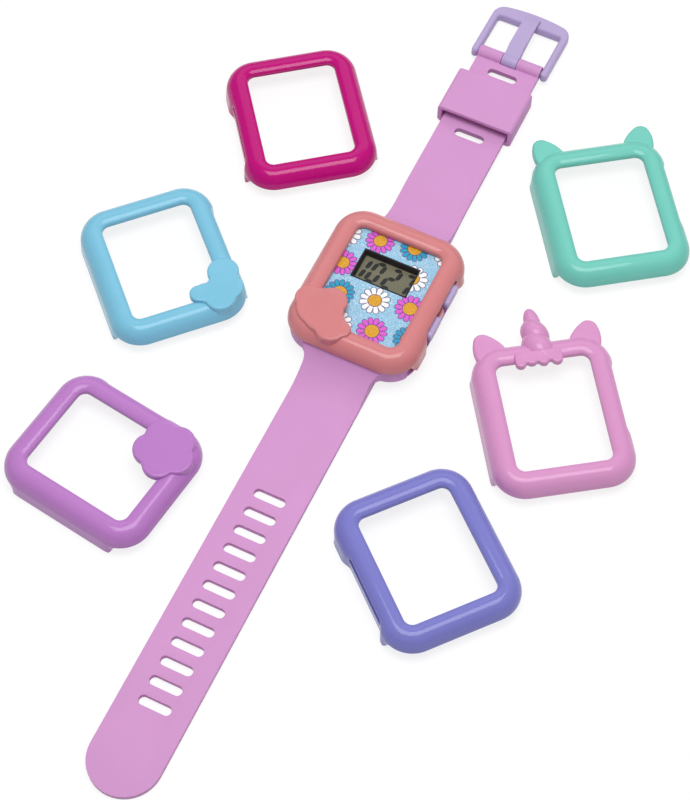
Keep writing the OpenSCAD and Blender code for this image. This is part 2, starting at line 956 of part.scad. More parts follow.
// Side view of the short strap, which climbs on to the keeper's floor
short_side = concat(
    [[0, 0], [0, root_h], [root_y, root_h]],
    [for (d = root_steps) [root_y + d, strap_t + root_rise(d) + short_lift(root_y + d)]],
    [for (d = lift_steps)
        if (lift_y + d > root_y + root_l + side_gap) [lift_y + d, strap_t + short_lift(lift_y + d)]],
    [[pin_y, strap_t + strap_end_z], [pin_y, strap_end_z]],
    [for (i = [curve_n:-1:0]) [lift_y + lift_steps[i], short_lift(lift_y + lift_steps[i])]]);

module side_view(points) {
    rotate([90, 0, 90])
        linear_extrude(2 * case_x, center = true)
            polygon(points);
}

// Fillet between the strap's edge and the tray's round corner, slanted underneath like the tray.
// The line between the two arcs' centres passes through the point where they touch.
module flares(side_points) {
    tray_r = window_r + tray_out;
    corner = [half_w - window_r, half_l - window_r];
    hollow_x = strap_w / 2 + flare_r;
    hollow_y = corner[1] + sqrt(pow(tray_r + flare_r, 2) - pow(hollow_x - corner[0], 2));
    intersection() {
        side_view(side_points);
        for (sx = [-1, 1])
            difference() {
                linear_extrude(root_h)
                    polygon([[sx * corner[0] / 2, corner[1]], [sx * corner[0], corner[1]],
                        [sx * hollow_x, hollow_y], [sx * corner[0] / 2, hollow_y]]);
                translate([sx * hollow_x, hollow_y, -over])
                    cylinder(r = flare_r, h = root_h + 2 * over);
                translate([sx * hollow_x, hollow_y, 0])
                    cylinder(r1 = flare_r + tray_slant_in, r2 = flare_r, h = tray_slant_h);
            }
    }
}

module long_plan() {
    translate([-strap_w / 2, 0])
        square([strap_w, tip_y - strap_w / 2]);
    translate([0, tip_y - strap_w / 2])
        circle(r = strap_w / 2);
}

module short_plan() {
    translate([-strap_w / 2, 0])
        square([strap_w, pin_y]);
}

module tall(h) {
    translate([0, 0, -over])
        linear_extrude(h + 2 * over)
            children();
}

// Tray with a slanted underside, low enough to pass under the bezel's skirts
module tray() {
    round_the_window()
        polygon([[0, 0], [tray_out - tray_slant_in, 0], [tray_out, tray_slant_h],
            [tray_out, tray_h], [0, tray_h]]);
    linear_extrude(tray_h)
        grown_window(0);
}

// Higher walls at both ends of the tray
module tray_ends() {
    for (sy = [-1, 1])
        intersection() {
            linear_extrude(root_h)
                grown_window(tray_out);
            translate([-case_x, sy > 0 ? end_wall_y : -end_wall_y - tray_half_l, tray_h - over])
                cube([2 * case_x, tray_half_l, root_h]);
        }
}

module strap_body() {
    color("#d9a0d3")
        difference() {
            union() {
                tray();
                mirror([0, 1, 0]) {
                    intersection() {
                        side_view(long_side);
                        tall(root_h)
                            long_plan();
                    }
                    flares(long_side);
                }
                intersection() {
                    side_view(short_side);
                    tall(root_h)
                        short_plan();
                }
                flares(short_side);
                translate([0, pin_y, pin_z])
                    rotate([0, 90, 0])
                        cylinder(r = roll_r, h = strap_w, center = true);
                tray_ends();
            }
            translate([0, 0, flange_t + seat_gap + tray_lip_t])
                linear_extrude(root_h)
                    grown_window(case_out + tray_gap);
            tall(tray_h)
                grown_window(plug_out + side_gap);
            translate([0, 0, -over])
                linear_extrude(over + flange_t + seat_gap)
                    grown_window(flange_out + side_gap);
            for (i = [0:slot_n - 1])
                translate([0, i * slot_pitch - slot_last_y])
                    tall(strap_t)
                        slot_outline(slot_l, slot_w);
            for (i = [0, 1])
                translate([0, pin_y - end_slot_set - i * end_slot_gap])
                    tall(strap_t + strap_lift)
                        slot_outline(slot_l, slot_w);
            translate([0, pin_y, pin_z])
                rotate([0, 90, 0])
                    cylinder(r = pin_r + bore_gap, h = strap_w + 2 * over, center = true);
            translate([-gap_half_w, pin_y - roll_back, -over])
                cube([2 * gap_half_w, 2 * roll_back, root_h]);
        }
}

module keeper() {
    inner_w = 2 * (keeper_half_w - keeper_side_t);
    outer_h = keeper_floor_t + keeper_inner_h + keeper_top_t;
    color("#d9a0d3")
        translate([0, keeper_y, keeper_z])
            rotate([90, 0, 0])
                linear_extrude(keeper_l, center = true)
                    difference() {
                        translate([0, outer_h / 2])
                            rounded_outline(keeper_half_w, outer_h / 2, keeper_r);
                        translate([-inner_w / 2, keeper_floor_t])
                            square([inner_w, keeper_inner_h]);
                    }
}

module buckle_pin() {
    color("#c6c8cc")
        translate([0, pin_y, pin_z])
            rotate([0, 90, 0])
                cylinder(r = pin_r, h = 2 * (buckle_half_w - arm_w / 3), center = true);
}

// The buckle's parts are drawn about the pin, along the buckle, and then sloped down
module at_pin() {
    translate([0, pin_y, pin_z])
        rotate([-buckle_slope, 0, 0])
            children();
}

module buckle_outline() {
    difference() {
        intersection() {
            translate([0, (bar_out - arm_tail) / 2])
                rounded_outline(buckle_half_w, (bar_out + arm_tail) / 2, buckle_r);
            translate([0, bar_out - bow_r])
                circle(r = bow_r);
        }
        translate([-arm_in, -arm_tail - over])
            square([2 * arm_in, bar_in + arm_tail + over]);
    }
    for (sx = [-1, 1])
        translate([sx * (arm_in + arm_w / 2), (bar_in - arm_tail) / 4])
            square([arm_w, (bar_in + arm_tail * 3) / 2], center = true);
}

module buckle_frame() {
    color("#c3aedf")
        at_pin()
            difference() {
                translate([0, 0, -buckle_h / 2])
                    linear_extrude(buckle_h)
                        buckle_outline();
                rotate([0, 90, 0])
                    cylinder(r = pin_r + bore_gap, h = 2 * (buckle_half_w - arm_w / 4), center = true);
            }
}

module buckle_tongue() {
    low = buckle_h / 2 + seat_gap;
    tip = bar_in + tongue_over;
    color("#c8b6e2")
        at_pin()
            difference() {
                union() {
                    rotate([0, 90, 0])
                        cylinder(r = roll_r, h = tongue_w, center = true);
                    rotate([90, 0, 90])
                        linear_extrude(tongue_w, center = true)
                            polygon([[0, 0], [roll_r * cos(tongue_root_turn), roll_r * sin(tongue_root_turn)],
                                [bar_in * 0.3, low + tongue_t], [bar_in, low + tongue_t],
                                [tip, low + tongue_t * 0.6], [tip, low], [bar_in * 0.7, low],
                                [bar_in * 0.3, roll_r * 0.3], [roll_r, -roll_r * 0.2]]);
                }
                rotate([0, 90, 0])
                    cylinder(r = pin_r + bore_gap, h = tongue_w + 2 * over, center = true);
            }
}

strap_body();
case_shell();
back_cover();
back_screws();
face_plate();
display_surround();
display_glass();
contact_strips();
module_frame();
circuit_board();
chip_cap();
crystal_can();
battery_holder();
coin_cell();
battery_spring();
battery_clip();
side_contact();
upper_button();
lower_button();
keeper();
buckle_pin();
buckle_frame();
buckle_tongue();
bezel_coral();
bezel_magenta();
bezel_sky();
bezel_violet();
bezel_mint();
bezel_pink();
bezel_periwinkle();
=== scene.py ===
import json
import math

import bmesh
import bpy
from mathutils import Matrix, Vector

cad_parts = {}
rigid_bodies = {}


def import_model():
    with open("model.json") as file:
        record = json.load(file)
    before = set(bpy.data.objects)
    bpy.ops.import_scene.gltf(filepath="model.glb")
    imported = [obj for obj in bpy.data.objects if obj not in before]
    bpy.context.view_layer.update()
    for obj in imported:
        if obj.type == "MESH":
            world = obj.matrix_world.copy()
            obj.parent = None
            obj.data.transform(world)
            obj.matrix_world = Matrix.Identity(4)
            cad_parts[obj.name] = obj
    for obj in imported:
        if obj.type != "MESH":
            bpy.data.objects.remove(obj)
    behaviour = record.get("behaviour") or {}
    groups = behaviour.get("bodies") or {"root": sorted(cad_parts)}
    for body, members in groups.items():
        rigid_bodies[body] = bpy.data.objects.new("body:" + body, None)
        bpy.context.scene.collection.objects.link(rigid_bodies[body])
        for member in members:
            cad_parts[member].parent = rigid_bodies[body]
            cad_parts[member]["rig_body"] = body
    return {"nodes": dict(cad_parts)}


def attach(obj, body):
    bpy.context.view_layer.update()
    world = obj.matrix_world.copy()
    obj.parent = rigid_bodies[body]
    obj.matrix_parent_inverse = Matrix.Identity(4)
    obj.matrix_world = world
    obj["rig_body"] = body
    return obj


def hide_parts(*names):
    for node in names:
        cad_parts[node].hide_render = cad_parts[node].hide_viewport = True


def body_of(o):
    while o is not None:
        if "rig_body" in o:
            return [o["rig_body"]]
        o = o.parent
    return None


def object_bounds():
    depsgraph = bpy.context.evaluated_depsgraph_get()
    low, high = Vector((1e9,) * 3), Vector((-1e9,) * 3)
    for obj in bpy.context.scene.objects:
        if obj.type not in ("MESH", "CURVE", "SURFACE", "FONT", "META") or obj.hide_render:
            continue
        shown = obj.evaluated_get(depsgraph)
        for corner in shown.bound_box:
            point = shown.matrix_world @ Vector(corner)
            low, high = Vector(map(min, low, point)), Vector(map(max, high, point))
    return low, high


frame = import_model()
cad_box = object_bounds()
nodes = frame["nodes"]

# Lengths are in millimetres up to the point where a mesh is scaled to metres

MM = 0.001
TO_METRES = Matrix.Scale(MM, 4)


def in_scene(name, data):
    thing = bpy.data.objects.new(name, data)
    bpy.context.scene.collection.objects.link(thing)
    return thing


def aim(thing, place, way):
    """Puts a camera or a lamp at a place, looking along a way. Both are in metres."""
    thing.location = place
    thing.rotation_mode = "QUATERNION"
    thing.rotation_quaternion = way.to_track_quat("-Z", "Y")


# Camera at the photograph's viewing angle

CAMERA_AZIMUTH = math.radians(25.75)
CAMERA_ELEVATION = math.radians(61.58)
CAMERA_DISTANCE = 445.3
CAMERA_TARGET = Vector((5.36, -28.09, 5.8))
CAMERA_LENS = 88.2
SENSOR_WIDTH = 36
NEAREST = 0.01
FARTHEST = 10


def make_camera():
    data = bpy.data.cameras.new("camera")
    data.sensor_width = SENSOR_WIDTH
    data.lens = CAMERA_LENS
    data.clip_start = NEAREST
    data.clip_end = FARTHEST
    back = Vector((
        math.sin(CAMERA_AZIMUTH) * math.cos(CAMERA_ELEVATION),
        -math.cos(CAMERA_AZIMUTH) * math.cos(CAMERA_ELEVATION),
        math.sin(CAMERA_ELEVATION),
    ))
    camera = in_scene("camera", data)
    aim(camera, (CAMERA_TARGET + back * CAMERA_DISTANCE) * MM, -back)
    bpy.context.scene.camera = camera


make_camera()


# Finishes


def shade(red, green, blue):
    """A colour written as it looks on a screen, 0 to 255, as the linear colour a shader takes."""
    shares = [c / 255 for c in (red, green, blue)]
    return (*[c / 12.92 if c <= 0.04045 else ((c + 0.055) / 1.055) ** 2.4 for c in shares], 1.0)


def toned(colour, factor):
    return (*[min(1.0, c * factor) for c in colour[:3]], 1.0)


class Wire:
    """One value in a finish. Operators on it add Math nodes, and make() adds any other node."""

    def __init__(self, tree, socket=None):
        self.tree = tree
        self.socket = socket

    def make(self, kind, settings=None, values=None, out=0):
        node = self.tree.nodes.new(kind)
        for key, setting in (settings or {}).items():
            setattr(node, key, setting)
        for key, value in (values or {}).items():
            if isinstance(value, Wire):
                self.tree.links.new(value.socket, node.inputs[key])
            else:
                node.inputs[key].default_value = value
        return Wire(self.tree, node.outputs[out] if len(node.outputs) else None)

    def maths(self, operation, first, second):
        return self.make("ShaderNodeMath", {"operation": operation}, {0: first, 1: second})

    def __add__(self, other):
        return self.maths("ADD", self, other)

    __radd__ = __add__

    def __mul__(self, other):
        return self.maths("MULTIPLY", self, other)

    __rmul__ = __mul__

    def __gt__(self, other):
        return self.maths("GREATER_THAN", self, other)

    def __lt__(self, other):
        return self.maths("LESS_THAN", self, other)

    def in_millimetres(self):
        place = self.make("ShaderNodeTexCoord", out="Object")
        return self.make("ShaderNodeVectorMath", {"operation": "SCALE"}, {0: place, "Scale": 1 / MM})

    def noise(self, place, per_mm, detail=2.0):
        return self.make("ShaderNodeTexNoise", None, {"Vector": place, "Scale": per_mm, "Detail": detail})

    def cells(self, place, per_mm):
        """A different value in each small cell."""
        cell = self.make("ShaderNodeTexVoronoi", None, {"Vector": place, "Scale": per_mm}, "Color")
        return self.make("ShaderNodeSeparateColor", None, {"Color": cell})

    def blend(self, share, low, high):
        return self.make("ShaderNodeMix", {"data_type": "RGBA"}, {0: share, 6: low, 7: high}, 2)

    def relief(self, height, depth_mm):
        values = {"Height": height, "Strength": 1.0, "Distance": depth_mm * MM}
        return self.make("ShaderNodeBump", None, values)


def new_finish(name):
    material = bpy.data.materials.new(name)
    material.use_nodes = True
    material.node_tree.nodes.clear()
    return material, Wire(material.node_tree)


def close_finish(material, wire, values):
    """Ends a finish in one Principled shader."""
    surface = wire.make("ShaderNodeBsdfPrincipled", None, values)
    wire.make("ShaderNodeOutputMaterial", None, {"Surface": surface})
    return material


BASE_GLOSS = 0.1
SKIN_DEPTH = 0.0001
STRIPE = 0.2


def moulded_plastic(name, colour, roughness=0.26, coat=0.38):
    """Glossy moulded toy plastic: faint flow clouding, a fine skin and slightly uneven gloss."""
    material, wire = new_finish(name)
    place = wire.in_millimetres()
    clouds = wire.noise(place, per_mm=0.11, detail=3.0)
    skin = wire.noise(place, per_mm=2.6)
    wear = wire.noise(place, per_mm=0.55, detail=4.0)
    return close_finish(material, wire, {
        "Base Color": wire.blend(clouds, toned(colour, 0.97), toned(colour, 1.03)),
        "Roughness": wear * 0.1 + (roughness - 0.05),
        "Specular IOR Level": BASE_GLOSS,
        "Coat Weight": coat,
        "Coat Roughness": 0.045,
        "Normal": wire.relief(skin, SKIN_DEPTH),
    })


def soft_vinyl(name, colour):
    """Satin vinyl: a fine matt grain, light clouding and a few rubbed places."""
    material, wire = new_finish(name)
    place = wire.in_millimetres()
    clouds = wire.noise(place, per_mm=0.07, detail=3.0)
    grain = wire.noise(place, per_mm=5.0, detail=3.0)
    rubbed = wire.noise(place, per_mm=0.35, detail=5.0)
    return close_finish(material, wire, {
        "Base Color": wire.blend(clouds, toned(colour, 0.96), toned(colour, 1.05)),
        "Roughness": rubbed * 0.18 + 0.4,
        "Specular IOR Level": BASE_GLOSS,
        "Normal": wire.relief(grain, depth_mm=0.006),
    })


def plain_finish(name, colour, roughness, metallic=0.0, spread=0.1, per_mm=1.2, depth=0.004):
    """Finish for small pieces, metal and inks: mottled colour, uneven gloss and a light grain."""
    material, wire = new_finish(name)
    mottle = wire.noise(wire.in_millimetres(), per_mm, detail=4.0)
    return close_finish(material, wire, {
        "Base Color": wire.blend(mottle, toned(colour, 1 - spread), toned(colour, 1 + spread)),
        "Metallic": metallic,
        "Roughness": mottle * 0.2 + (roughness - 0.1),
        "Normal": wire.relief(mottle, depth),
    })


def glitter_print(name, ground, pale, deep):
    """Printed ground with fine glitter: most grains near the ground colour, some deep, and some pale ones
    that are painted glints.
    """
    material, wire = new_finish(name)
    place = wire.in_millimetres()
    grain = wire.cells(place, per_mm=5.5)
    second = wire.cells(place, per_mm=8.5)
    clouds = wire.noise(place, per_mm=0.6, detail=3.0)
    colour = wire.blend(clouds, toned(ground, 0.96), toned(ground, 1.04))
    # The pale grains are painted glints: the glitter's sparkle put into the colour as near-white flecks.
    colour = wire.blend((grain > 0.74) * 0.62, colour, pale)
    colour = wire.blend((second < 0.2) * 0.5, colour, deep)
    return close_finish(material, wire, {
        "Base Color": colour,
        "Roughness": grain * 0.3 + 0.2,
        "Coat Weight": 0.15,
        "Coat Roughness": 0.1,
        "Normal": wire.relief(grain, depth_mm=0.004),
    })


def striped_rubber(name, pale, dark):
    """Contact rubber, with its conducting stripes across the strip."""
    material, wire = new_finish(name)
    place = wire.in_millimetres()
    along = wire.make("ShaderNodeSeparateXYZ", None, {"Vector": place})
    stripe = wire.maths("PINGPONG", along, STRIPE) > STRIPE / 2
    mottle = wire.noise(place, per_mm=3.0, detail=3.0)
    return close_finish(material, wire, {
        "Base Color": wire.blend(stripe, pale, dark),
        "Roughness": mottle * 0.2 + 0.5,
        "Normal": wire.relief(mottle, depth_mm=0.004),
    })


def board_lacquer(name, lacquer, copper):
    """Green board lacquer with paler tracks showing through it."""
    material, wire = new_finish(name)
    place = wire.in_millimetres()
    track = wire.make("ShaderNodeTexVoronoi", None, {"Vector": place, "Scale": 0.55}, "Distance")
    mottle = wire.noise(place, per_mm=1.5, detail=3.0)
    return close_finish(material, wire, {
        "Base Color": wire.blend((track > 0.62) * 0.7, lacquer, copper),
        "Roughness": mottle * 0.2 + 0.25,
        "Normal": wire.relief(track, depth_mm=0.02),
    })


def display_film(name, colour):
    """Grey green liquid crystal film under a satin polariser."""
    material, wire = new_finish(name)
    place = wire.in_millimetres()
    haze = wire.noise(place, per_mm=0.35)
    fine = wire.noise(place, per_mm=6.0)
    return close_finish(material, wire, {
        "Base Color": wire.blend(haze, toned(colour, 0.9), toned(colour, 1.08)),
        "Roughness": fine * 0.1 + 0.22,
        "Normal": wire.relief(fine, depth_mm=0.001),
    })


def bare_metal(name, colour, roughness):
    return plain_finish(name, colour, roughness, metallic=1.0, spread=0.06, per_mm=4.0, depth=0.002)


def printing_ink(name, colour, roughness=0.35, spread=0.08, per_mm=5.0):
    return plain_finish(name, colour, roughness, spread=spread, per_mm=per_mm, depth=0.001)


strap_vinyl = soft_vinyl("strap_vinyl", shade(215, 156, 209))
lilac_plastic = moulded_plastic("lilac_plastic", shade(190, 172, 216), roughness=0.36, coat=0.15)
back_plastic = plain_finish("back_plastic", shade(186, 178, 192), 0.5, spread=0.05, per_mm=2.5)
steel = bare_metal("steel", shade(190, 190, 194), 0.3)
spring_metal = bare_metal("spring_metal", shade(214, 190, 130), 0.32)
module_plastic = plain_finish("module_plastic", shade(230, 228, 220), 0.5, spread=0.04)
black_plastic = plain_finish("black_plastic", shade(38, 34, 40), 0.45, spread=0.15, per_mm=3.0)
chip_resin = plain_finish("chip_resin", shade(24, 24, 27), 0.2, spread=0.2, per_mm=0.8)
contact_rubber = striped_rubber("contact_rubber", shade(226, 150, 168), shade(70, 62, 66))
board = board_lacquer("board", shade(46, 118, 70), shade(116, 170, 96))
display_glass = display_film("display_glass", shade(116, 113, 91))
# The pale grains of the face's glitter are painted glints.
face_print = glitter_print(
    "face_print", ground=shade(150, 200, 229), pale=shade(216, 237, 248), deep=shade(88, 158, 206))
print_white = printing_ink("print_white", shade(250, 250, 250), spread=0.02)
print_pink = printing_ink("print_pink", shade(226, 92, 214))
print_teal = printing_ink("print_teal", shade(28, 160, 200))
# The pale grains of the gold glitter are painted glints.
print_gold = glitter_print(
    "print_gold", ground=shade(222, 160, 18), pale=shade(242, 192, 60), deep=shade(190, 128, 12))
print_dark = printing_ink("print_dark", shade(84, 58, 118), roughness=0.4, spread=0.1)
display_ink = printing_ink("display_ink", shade(14, 14, 17), roughness=0.5, spread=0.1, per_mm=4.0)


# Shared shapes

MERGE = 0.003
SAME_POINT = 1e-4
TINY = 1e-6
CREASE = 38
EDGE_STEPS = 4
BLOCK_ROUND = 0.05
QUARTERS = ((1, 1), (-1, 1), (-1, -1), (1, -1))
AS_DRAWN = Matrix.Identity(4)
# Lays a slab's height along x, and its outline in y and z
ALONG_X = Matrix(((0, 0, 1, 0), (1, 0, 0, 0), (0, 1, 0, 0), (0, 0, 0, 1)))


def split_wide_faces(work):
    bmesh.ops.triangulate(work, faces=[f for f in work.faces if len(f.verts) > 4])


def piece(name, points, faces, place=AS_DRAWN):
    """A closed mesh, with all its faces turned outward."""
    mesh = bpy.data.meshes.new(name)
    mesh.from_pydata([place @ Vector(p) for p in points], [], faces)
    work = bmesh.new()
    work.from_mesh(mesh)
    bmesh.ops.remove_doubles(work, verts=work.verts, dist=MERGE)
    bmesh.ops.recalc_face_normals(work, faces=work.faces)
    split_wide_faces(work)
    work.to_mesh(mesh)
    work.free()
    return in_scene(name, mesh)


def settle(target):
    """Turns a piece's modifiers into its own mesh."""
    bpy.context.view_layer.update()
    graph = bpy.context.evaluated_depsgraph_get()
    mesh = bpy.data.meshes.new_from_object(target.evaluated_get(graph))
    target.modifiers.clear()
    target.data = mesh


def carve(target, cutter, operation):
    """Cuts, joins or keeps what is common of two closed meshes, and removes the second."""
    change = target.modifiers.new("carve", "BOOLEAN")
    change.object = cutter
    change.operation = operation
    change.solver = "MANIFOLD"
    settle(target)
    bpy.data.objects.remove(cutter)


def clean_cuts(target):
    """Splits the many-sided faces that cutting leaves, and merges the slivers."""
    work = bmesh.new()
    work.from_mesh(target.data)
    bmesh.ops.remove_doubles(work, verts=work.verts, dist=MERGE)
    split_wide_faces(work)
    bmesh.ops.dissolve_degenerate(work, dist=MERGE, edges=work.edges)
    work.to_mesh(target.data)
    work.free()


def smooth_faces(target, crease=CREASE):
    """Smooth shading, with a hard line only where the faces meet at more than the crease angle."""
    mesh = target.data
    mesh.polygons.foreach_set("use_smooth", [True] * len(mesh.polygons))
    mesh.set_sharp_from_angle(angle=math.radians(crease))


def finish_with(thing, material):
    thing.data.materials.clear()
    thing.data.materials.append(material)


def stand_for(thing, node, body, material, slot):
    """Gives a piece its finish, and puts it in the place of a CAD node."""
    finish_with(thing, material)
    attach(thing, body)
    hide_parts(node)


def way_at(angle):
    return Vector((math.cos(angle), math.sin(angle)))


def left_of(way):
    return Vector((-way.y, way.x))


def arc(centre, radius, start, end, steps):
    """Points along an arc, its angles in degrees."""
    return [
        Vector((centre[0] + radius * math.cos(a), centre[1] + radius * math.sin(a)))
        for a in (math.radians(start + (end - start) * i / steps) for i in range(steps + 1))
    ]


def distinct(outline):
    """The outline without the points that fall on the one before."""
    return [p for i, p in enumerate(outline) if (p - outline[i - 1]).length > SAME_POINT]


def joined_outline(circles, centre, rays=720, common=False):
    """Outline of circles joined (or of what is common to them), seen from a centre inside all of it."""
    outline = []
    for i in range(rays):
        way = way_at(2 * math.pi * i / rays)
        reaches = []
        for x, y, radius in circles:
            to_middle = Vector((x, y)) - centre
            along = to_middle.dot(way)
            inside = radius * radius - to_middle.length_squared + along * along
            if inside > 0 and along + math.sqrt(inside) > 0:
                reaches.append(along + math.sqrt(inside))
        outline.append(centre + way * (min(reaches) if common else max(reaches)))
    return outline


def evened(outline, spacing=0.12, softness=3):
    """The outline with evenly spaced points, and with its sharp notches and tips softened."""
    lengths = [(outline[(i + 1) % len(outline)] - p).length for i, p in enumerate(outline)]
    total = sum(lengths)
    count = round(total / spacing)
    points, i, run = [], 0, 0.0
    for k in range(count):
        goal = total * k / count
        while run + lengths[i] < goal:
            run += lengths[i]
            i += 1
        share = (goal - run) / max(lengths[i], TINY)
        points.append(outline[i].lerp(outline[(i + 1) % len(outline)], share))
    for _ in range(softness):
        points = [(points[k - 1] + points[k] * 2 + points[(k + 1) % count]) / 4 for k in range(count)]
    return points


def clipped(polygon, axis, limit, keep_low):
    """A convex polygon cut off at a line across one axis."""
    kept = []
    for i, p in enumerate(polygon):
        q = polygon[(i + 1) % len(polygon)]
        inside = [(v[axis] <= limit) == keep_low for v in (p, q)]
        if inside[0]:
            kept.append(p)
        if inside[0] != inside[1]:
            share = (limit - p[axis]) / (q[axis] - p[axis])
            kept.append(p.lerp(q, share))
    return kept


def swollen(polygon, radius, steps=120):
    """A convex polygon grown by a radius, with its corners rounded by it."""
    ways = [way_at(2 * math.pi * k / steps) for k in range(steps)]
    return [max(polygon, key=way.dot) + way * radius for way in ways]


def inset(outline, distance):
    """The outline moved inward along its own normals. It runs counterclockwise."""
    count = len(outline)
    moved = []
    for i, p in enumerate(outline):
        run = (outline[(i + 1) % count] - outline[i - 1]).normalized()
        moved.append(p + left_of(run) * distance)
    return moved


def ring_faces(rings, count, closed=False):
    """Faces between rings of points. Closed joins the last ring to the first."""
    faces = []
    for a in range(rings if closed else rings - 1):
        b = (a + 1) % rings
        for i in range(count):
            j = (i + 1) % count
            faces.append((a * count + i, a * count + j, b * count + j, b * count + i))
    return faces


def slab(name, outline, low, high, top_round=0.0, low_round=0.0, place=AS_DRAWN):
    """A flat piece of an outline's shape, with rounded upper and lower edges."""
    bends = [math.pi / 2 * k / EDGE_STEPS for k in range(EDGE_STEPS + 1)]
    levels = []
    if low_round:
        levels += [(low_round * (1 - math.sin(a)), low + low_round * (1 - math.cos(a))) for a in bends[:-1]]
    levels.append((0.0, low + low_round))
    if top_round:
        foot = high - top_round
        levels += [(top_round * (1 - math.cos(a)), foot + top_round * math.sin(a)) for a in bends]
    else:
        levels.append((0.0, high))
    points, count = [], len(outline)
    for distance, z in levels:
        ring = inset(outline, distance) if distance else outline
        points += [(p.x, p.y, z) for p in ring]
    faces = ring_faces(len(levels), count)
    faces.append(tuple(range(count - 1, -1, -1)))
    faces.append(tuple(range((len(levels) - 1) * count, len(levels) * count)))
    return piece(name, points, faces, place)


def rounded_box_outline(half_x, half_y, radius, centre=(0.0, 0.0), steps=8):
    outline = []
    for quarter, (sx, sy) in enumerate(QUARTERS):
        middle = (centre[0] + sx * (half_x - radius), centre[1] + sy * (half_y - radius))
        outline += arc(middle, radius, 90 * quarter, 90 * quarter + 90, steps)
    return distinct(outline)


def block(name, low, high):
    """A box between two corners, with its upright edges just broken."""
    middle = [(a + b) / 2 for a, b in zip(low, high)]
    half_x, half_y = [(b - a) / 2 for a, b in zip(low[:2], high[:2])]
    outline = rounded_box_outline(half_x, half_y, BLOCK_ROUND, middle, 2)
    return slab(name, outline, low[2], high[2])


# Clip-on covers, drawn about the window's middle, with the lip at zero height

WINDOW_HALF = (11.0, 13.75)
WINDOW_RADIUS = 2.0
CORNER_STEPS = 24
STATION_STEP = 0.55
LONG_SIDE = 0.7
OVERRUN = 1.0

# Values named OUT, and the first numbers of pairs, run outward from the window's edge
TOP_MIDDLE = (2.0, -2.75)
TOP_REACH = (3.5, 4.05)
TOP_STEPS = 34
BROW = 0.12
BROW_ROUND = 0.25
LIP = 0.5
LIP_ROUND = 0.2
LIP_FOOT_ROUND = 0.14
WALL_MIDDLE = (1.3, -2.75)
WALL_RADIUS = 4.2
HOLLOW_RADIUS = 2.9
HOLLOW_OUT = WALL_MIDDLE[0] + HOLLOW_RADIUS
HOLLOW_STEPS = 16

SKIRT_OUT = 5.75
SKIRT_HALF = 15.1
SKIRT_LOW = -5.8
SKIRT_RISE = 1.9
SKIRT_END = 1.6
SKIRT_STEPS = 6
FOOT_ROUND = 0.3
FOOT_INNER_ROUND = 0.2

RECESS_OUT = 4.7
RECESS_HALF = 7.6
RECESS_Y = 1.9
RECESS_RUN = 3.2
RECESS_BLUR = 0.22
RECESS_SKIN = 0.05
SLOT_HALF = 8.4
SLOT_LOW = -2.95
SLOT_HIGH = -0.5


def window_stations():
    """Points round the window's edge, each with its outward direction."""
    stations = []
    half_x, half_y = WINDOW_HALF
    for quarter, (sx, sy) in enumerate(QUARTERS):
        middle = Vector((sx * (half_x - WINDOW_RADIUS), sy * (half_y - WINDOW_RADIUS)))
        for i in range(CORNER_STEPS + 1):
            way = way_at(math.radians(90 * quarter + 90 * i / CORNER_STEPS))
            stations.append((middle + way * WINDOW_RADIUS, way))
        run = 2 * ((half_x if quarter % 2 == 0 else half_y) - WINDOW_RADIUS)
        start, way = stations[-1]
        count = round(run / STATION_STEP)
        stations += [(start + left_of(way) * run * i / count, way) for i in range(1, count)]
    return stations


def lofted(name, stations, profiles):
    """Closed profiles of one count, each drawn outward from its station, joined into a closed ring."""
    points = [
        (edge.x + way.x * p.x, edge.y + way.y * p.x, p.y)
        for (edge, way), profile in zip(stations, profiles) for p in profile
    ]
    return piece(name, points, ring_faces(len(stations), len(profiles[0]), closed=True))


def swept(name, profile):
    """A closed profile carried round the window."""
    stations = window_stations()
    return lofted(name, stations, [[Vector(p) for p in profile]] * len(stations))


def eased(share):
    share = max(0.0, min(1.0, share))
    return share * share * (3 - 2 * share)


def rounded_corner(before, corner, after, reach, steps=4):
    """A corner between two straight runs as a curve that starts and ends at a reach from it."""
    first = corner + (before - corner).normalized() * reach
    last = corner + (after - corner).normalized() * reach
    return [first * (1 - t) ** 2 + corner * 2 * t * (1 - t) + last * t * t
            for t in (k / steps for k in range(steps + 1))]


def press_in_recess(section, way, y):
    """Flattens a section's outer side where the recess for the buttons runs past it."""
    if way.x <= LONG_SIDE:
        return
    share = eased((RECESS_HALF + RECESS_RUN - abs(y - RECESS_Y)) / RECESS_RUN)
    depth = (SKIRT_OUT - RECESS_OUT) * share
    if depth > 0:
        limit, blur = SKIRT_OUT - depth, RECESS_BLUR * min(1.0, depth)
        for p in section:
            if p.x > HOLLOW_OUT + RECESS_SKIN:
                p.x = (p.x + limit - math.hypot(p.x - limit, blur)) / 2


